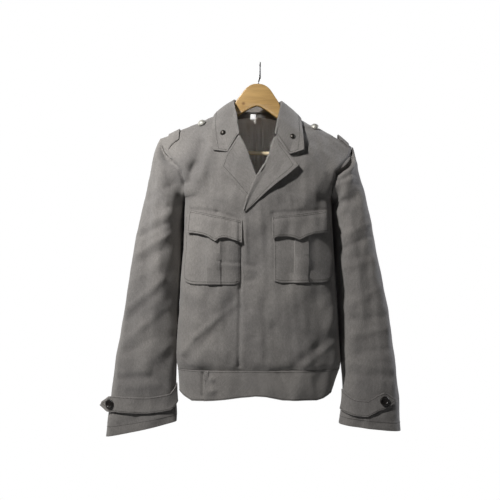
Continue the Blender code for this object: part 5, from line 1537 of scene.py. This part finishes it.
class TUNIC_OT_shoulder_loops(bpy.types.Operator):
    """Cloth carriers for a shoulder strap"""

    bl_idname = "tunic.shoulder_loops"
    bl_label = "Shoulder loops"

    def execute(self, context):
        panels = {name: SHEETS[name]["grid"][BACK_BELOW - 2:] for name in ("front_left", "front_right", "back")}
        for name in CARRIERS:
            x = CARRIERS[name][0]
            dress(name, carrier_grid(name, panels, 24, 12), CARRIER_CLOTH, (x, 2, -260), strength=0.3, roll=0.5)
        return {"FINISHED"}


# How far the lining hangs forward of its solid, so that the back's creases don't reach it
LINING_SLACK = 2.0


class TUNIC_OT_lining(bpy.types.Operator):
    """Lining inside the back, and the bare neck label"""

    bl_idname = "tunic.lining"
    bl_label = "Lining and label"

    def execute(self, context):
        hung = lining_grid(160, 60) - np.array((0, LINING_SLACK, 0))
        dress("back_lining", hung, LINING, (CENTRE_X, 400, -200), LINING_CREASES,
              strength=0.15, finish_name="lining", roll=0.3)
        here, normal = on_grid(SHEETS["back_lining"]["grid"], LABEL_X, LABEL_Z, (0, 2, 1), -1)
        shape = bmesh.new()
        bmesh.ops.create_grid(shape, x_segments=8, y_segments=8, size=LABEL_SIZE / 2 * MM)
        for vert in shape.verts:
            u, v = vert.co.x / (LABEL_SIZE / 2 * MM), vert.co.y / (LABEL_SIZE / 2 * MM)
            vert.co.z = (0.35 * (1 - u ** 4) * (1 - v ** 4)) * MM
        bmesh.ops.transform(shape, matrix=Matrix(stand_on(here + normal * 0.7, normal)), verts=shape.verts[:])
        mesh = bpy.data.meshes.new("label_tape")
        shape.to_mesh(mesh)
        shape.free()
        tape = bpy.data.objects.new("label_tape", mesh)
        bpy.context.scene.collection.objects.link(tape)
        mesh.materials.append(bpy.data.materials[MATERIAL_OF["label"]])
        wall = tape.modifiers.new("wall", "SOLIDIFY")
        wall.thickness = LABEL_THICK * MM
        place(tape, "label", "neck_label")
        SHEETS["back_lining"]["pieces"].append(tape)
        return {"FINISHED"}


class TUNIC_OT_sewing(bpy.types.Operator):
    """Rows of stitches on the pieces of cloth"""

    bl_idname = "tunic.sewing"
    bl_label = "Sewing"

    def execute(self, context):
        sew_rows()
        stitch = stitch_shape()
        tree = stitch_tree(bpy.data.materials["Sewing thread"])
        for node, lines in LINES.items():
            lay_stitches(node, lines, tree, stitch, context.scene.tunic_cloth)
        bpy.data.objects.remove(stitch, do_unlink=True)
        return {"FINISHED"}


def sew_rows():
    """Rows of stitches that show on each piece."""
    for side in POCKETS:
        flap = "pocket_flap_" + side
        for v in (0.90, 0.97):
            sew(flap, ((0.02, v), (0.98, v)), 60)
        sew(flap, ((0.02, 0.93), (0.02, 0.08), (0.98, 0.08), (0.98, 0.93)), 120)
        pocket = "pocket_" + side
        sew(pocket, ((0.02, 0.95), (0.02, 0.04), (0.98, 0.04), (0.98, 0.95)), 120)
    for v in (0.05, 0.95):
        sew("waistband", ((0.01, v), (0.997, v)), 400)
    sew("waistband", ((0.992, 0.06), (0.992, 0.9)), 20)
    for name in CUFF_TABS:
        sew(name, ((0.02, 0.08), (0.86, 0.08), (0.985, 0.45), (0.985, 0.55), (0.86, 0.92), (0.02, 0.92)), 120)
    for name in SLEEVES:
        sew(name, [(u, 0.975) for u in np.linspace(0, 0.989, 60)], 200)
    for name in ("lapel_left", "lapel_right"):
        sew(name, ((0.93, 0.04), (0.93, 0.93), (0.45, 0.965)), 90)
    sew("collar", ((0.45, 0.008), (0.9, 0.008), (0.93, 0.5), (0.9, 0.992), (0.45, 0.992)), 260)


class TUNIC_OT_hanger(bpy.types.Operator):
    """Wooden hanger, trouser bar and wire hook"""

    bl_idname = "tunic.hanger"
    bl_label = "Hanger"

    def execute(self, context):
        place(wooden_board(), "beech", "hanger_wood")
        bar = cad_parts["hanger_bar"]
        bar.data.materials.clear()
        bar.data.materials.append(bpy.data.materials[MATERIAL_OF["dowel"]])
        hook = wire_hook()
        place(hook, "steel", "hanger_hook")
        return {"FINISHED"}


def wooden_board():
    """Board of the hanger, cut out with softened corners and rounded edges."""
    outline = list(WOOD_TOP) + list(WOOD_BOTTOM)
    outline += [(-x, z) for x, z in reversed(WOOD_BOTTOM[:-1])] + [(-x, z) for x, z in reversed(WOOD_TOP[1:])]
    points = np.array(outline, float)
    for _ in range(2):
        after = np.roll(points, -1, axis=0)
        points = np.stack([points * 0.82 + after * 0.18, points * 0.18 + after * 0.82], 1).reshape(-1, 2)
    shape = bmesh.new()
    c, s = math.cos(HANGER_TILT), math.sin(HANGER_TILT)
    verts = []
    for x, z in points:
        rise = z - HOOK_STEM_FOOT
        verts.append(shape.verts.new(((HANGER_X + x * c + rise * s) * MM, -WOOD_THICK / 2 * MM,
                                      (HOOK_STEM_FOOT - x * s + rise * c) * MM)))
    front = shape.faces.new(verts)
    moved = bmesh.ops.extrude_face_region(shape, geom=[front])
    bmesh.ops.translate(shape, vec=(0, WOOD_THICK * MM, 0),
                        verts=[v for v in moved["geom"] if isinstance(v, bmesh.types.BMVert)])
    bmesh.ops.recalc_face_normals(shape, faces=shape.faces[:])
    mesh = bpy.data.meshes.new("wooden_board")
    shape.to_mesh(mesh)
    shape.free()
    item = bpy.data.objects.new("wooden_board", mesh)
    bpy.context.scene.collection.objects.link(item)
    mesh.materials.append(bpy.data.materials[MATERIAL_OF["beech"]])
    edge = item.modifiers.new("rounded edge", "BEVEL")
    edge.width = WOOD_EDGE * MM
    edge.segments = 4
    edge.limit_method = "ANGLE"
    edge.angle_limit = math.radians(60)
    board = plain_mesh(item)
    board.data.shade_smooth()
    board.data.set_sharp_from_angle(angle=math.radians(50))
    return board


def wire_hook():
    """Round wire hook with a blunt tip, swept along the line of the solid hook."""
    curve = bpy.data.curves.new("wire_hook", "CURVE")
    curve.dimensions = "3D"
    curve.bevel_depth = HOOK_WIRE * MM
    curve.bevel_resolution = 5
    curve.use_fill_caps = True
    points = hook_points(5)
    spline = curve.splines.new("POLY")
    spline.points.add(len(points) - 1)
    for slot, point in zip(spline.points, points):
        slot.co = (point[0] * MM, point[1] * MM, point[2] * MM, 1)
    item = bpy.data.objects.new("wire_hook", curve)
    bpy.context.scene.collection.objects.link(item)
    curve.materials.append(bpy.data.materials[MATERIAL_OF["steel"]])
    return plain_mesh(item)


class TUNIC_OT_stage(bpy.types.Operator):
    """Floor, soft studio lights and the photo's camera"""

    bl_idname = "tunic.stage"
    bl_label = "Stage"

    def execute(self, context):
        scene = context.scene
        scene.view_settings.view_transform = "Standard"
        mesh = bpy.data.meshes.new("floor")
        shape = bmesh.new()
        bmesh.ops.create_grid(shape, x_segments=1, y_segments=1, size=FLOOR_HALF)
        bmesh.ops.translate(shape, verts=shape.verts[:], vec=(0, FLOOR_BACK - FLOOR_HALF, FLOOR_Z))
        shape.to_mesh(mesh)
        shape.free()
        mesh.materials.append(painted_floor("Matt pale floor", linear("#EDEDEB")))
        floor = bpy.data.objects.new("floor", mesh)
        scene.collection.objects.link(floor)

        world = bpy.data.worlds.new("Pale studio")
        world.use_nodes = True
        tree = world.node_tree
        tree.nodes.clear()
        seen = add(tree, "ShaderNodeLightPath")
        soft = add(tree, "ShaderNodeBackground", {"Color": (1.0, 1.0, 1.0, 1.0), "Strength": 0.02})
        pale = add(tree, "ShaderNodeBackground", {"Color": (1.0, 1.0, 1.0, 1.0), "Strength": 1.0})
        both = add(tree, "ShaderNodeMixShader", None,
                   {0: seen.outputs["Is Camera Ray"], 1: soft.outputs[0], 2: pale.outputs[0]})
        add(tree, "ShaderNodeOutputWorld", None, {"Surface": both.outputs[0]})
        scene.world = world

        for name, spot, aim, size, power, spread, tint in LIGHTS:
            lamp = bpy.data.lights.new(name, "AREA")
            lamp.shape = "DISK"
            lamp.size = size
            lamp.energy = power
            lamp.spread = math.radians(spread)
            lamp.color = linear(tint)[:3]
            item = bpy.data.objects.new(name, lamp)
            item.location = spot
            way = np.array(aim, float) - np.array(spot, float)
            item.rotation_euler = Matrix(stand_on((0, 0, 0), -way)).to_euler()
            scene.collection.objects.link(item)

        camera = bpy.data.cameras.new("photo_camera")
        camera.angle = 2 * math.atan(VIEW_WIDTH / 2 / VIEW_AWAY)
        item = bpy.data.objects.new("photo_camera", camera)
        item.location = (VIEW_X, -VIEW_AWAY, VIEW_Z)
        item.rotation_euler = (math.pi / 2, 0, 0)
        scene.collection.objects.link(item)
        scene.camera = item
        return {"FINISHED"}


# The floor ends where the photo's view would begin to show it
FLOOR_BACK, FLOOR_HALF, FLOOR_Z = 2.5, 6.0, -1.7
VIEW_X, VIEW_Z, VIEW_AWAY, VIEW_WIDTH = -0.0215, -0.401, 1.9, 1.075
# Name, place, what it points at, size, power, spread in degrees, colour
LIGHTS = (
    ("key", (-1.20, -1.40, 1.00), (-0.25, 0.0, -0.25), 0.14, 6.2, 60, "#FFFCF9"),
    ("neck", (-0.01, -1.20, -0.05), (-0.01, 0.05, -0.17), 0.06, 0.008, 16, "#FFFFFF"),
    ("fill", (0.6, -2.4, -0.3), (0.0, 0.0, -0.45), 1.2, 0.5, 180, "#F6F8FF"),
    ("left side", (2.4, 1.0, 0.3), (0.2, 0.0, -0.45), 1.0, 20.0, 120, "#F8F9FF"),
    ("right side", (-2.4, 1.0, 0.3), (-0.2, 0.0, -0.45), 1.0, 9.0, 120, "#FFFDFA"),
    ("behind", (-0.7, 2.6, 0.7), (0.0, 0.0, -0.40), 1.0, 11.0, 120, "#FFFFFF"),
)


class TUNIC_PT_panel(bpy.types.Panel):
    """Sizes, colours and steps of the tunic"""

    bl_idname = "TUNIC_PT_panel"
    bl_label = "Military tunic"
    bl_space_type = "VIEW_3D"
    bl_region_type = "UI"
    bl_category = "Tunic"

    def draw(self, context):
        for group in (context.scene.tunic_cloth, context.scene.tunic_trim):
            box = self.layout.box()
            for key in group.bl_rna.properties.keys():
                if key not in ("rna_type", "name"):
                    box.prop(group, key)
        for step in STEPS:
            self.layout.operator(step.bl_idname)


STEPS = (TUNIC_OT_finishes, TUNIC_OT_body, TUNIC_OT_collar, TUNIC_OT_sleeves, TUNIC_OT_pockets, TUNIC_OT_waistband,
         TUNIC_OT_cuff_straps, TUNIC_OT_shoulder_loops, TUNIC_OT_buttons, TUNIC_OT_lining, TUNIC_OT_sewing,
         TUNIC_OT_hanger, TUNIC_OT_stage)
CLASSES = (TunicCloth, TunicTrim) + STEPS + (TUNIC_PT_panel,)


def register():
    """Register the classes and the scene's settings."""
    for item in CLASSES:
        bpy.utils.register_class(item)
    bpy.types.Scene.tunic_cloth = bpy.props.PointerProperty(type=TunicCloth)
    bpy.types.Scene.tunic_trim = bpy.props.PointerProperty(type=TunicTrim)


def unregister():
    """Take the classes and settings away again."""
    del bpy.types.Scene.tunic_trim
    del bpy.types.Scene.tunic_cloth
    for item in reversed(CLASSES):
        bpy.utils.unregister_class(item)


def main():
    """Build the tunic, the hanger and the stage, and keep the two sizes."""
    register()
    for step in STEPS:
        group, name = step.bl_idname.split(".")
        if getattr(getattr(bpy.ops, group), name)() != {"FINISHED"}:
            raise RuntimeError(step.bl_label + " didn't finish")


if __name__ == "__main__":
    FACES = {name: Face(name) for name in ("back", "front_right", "front_left")}
    main()
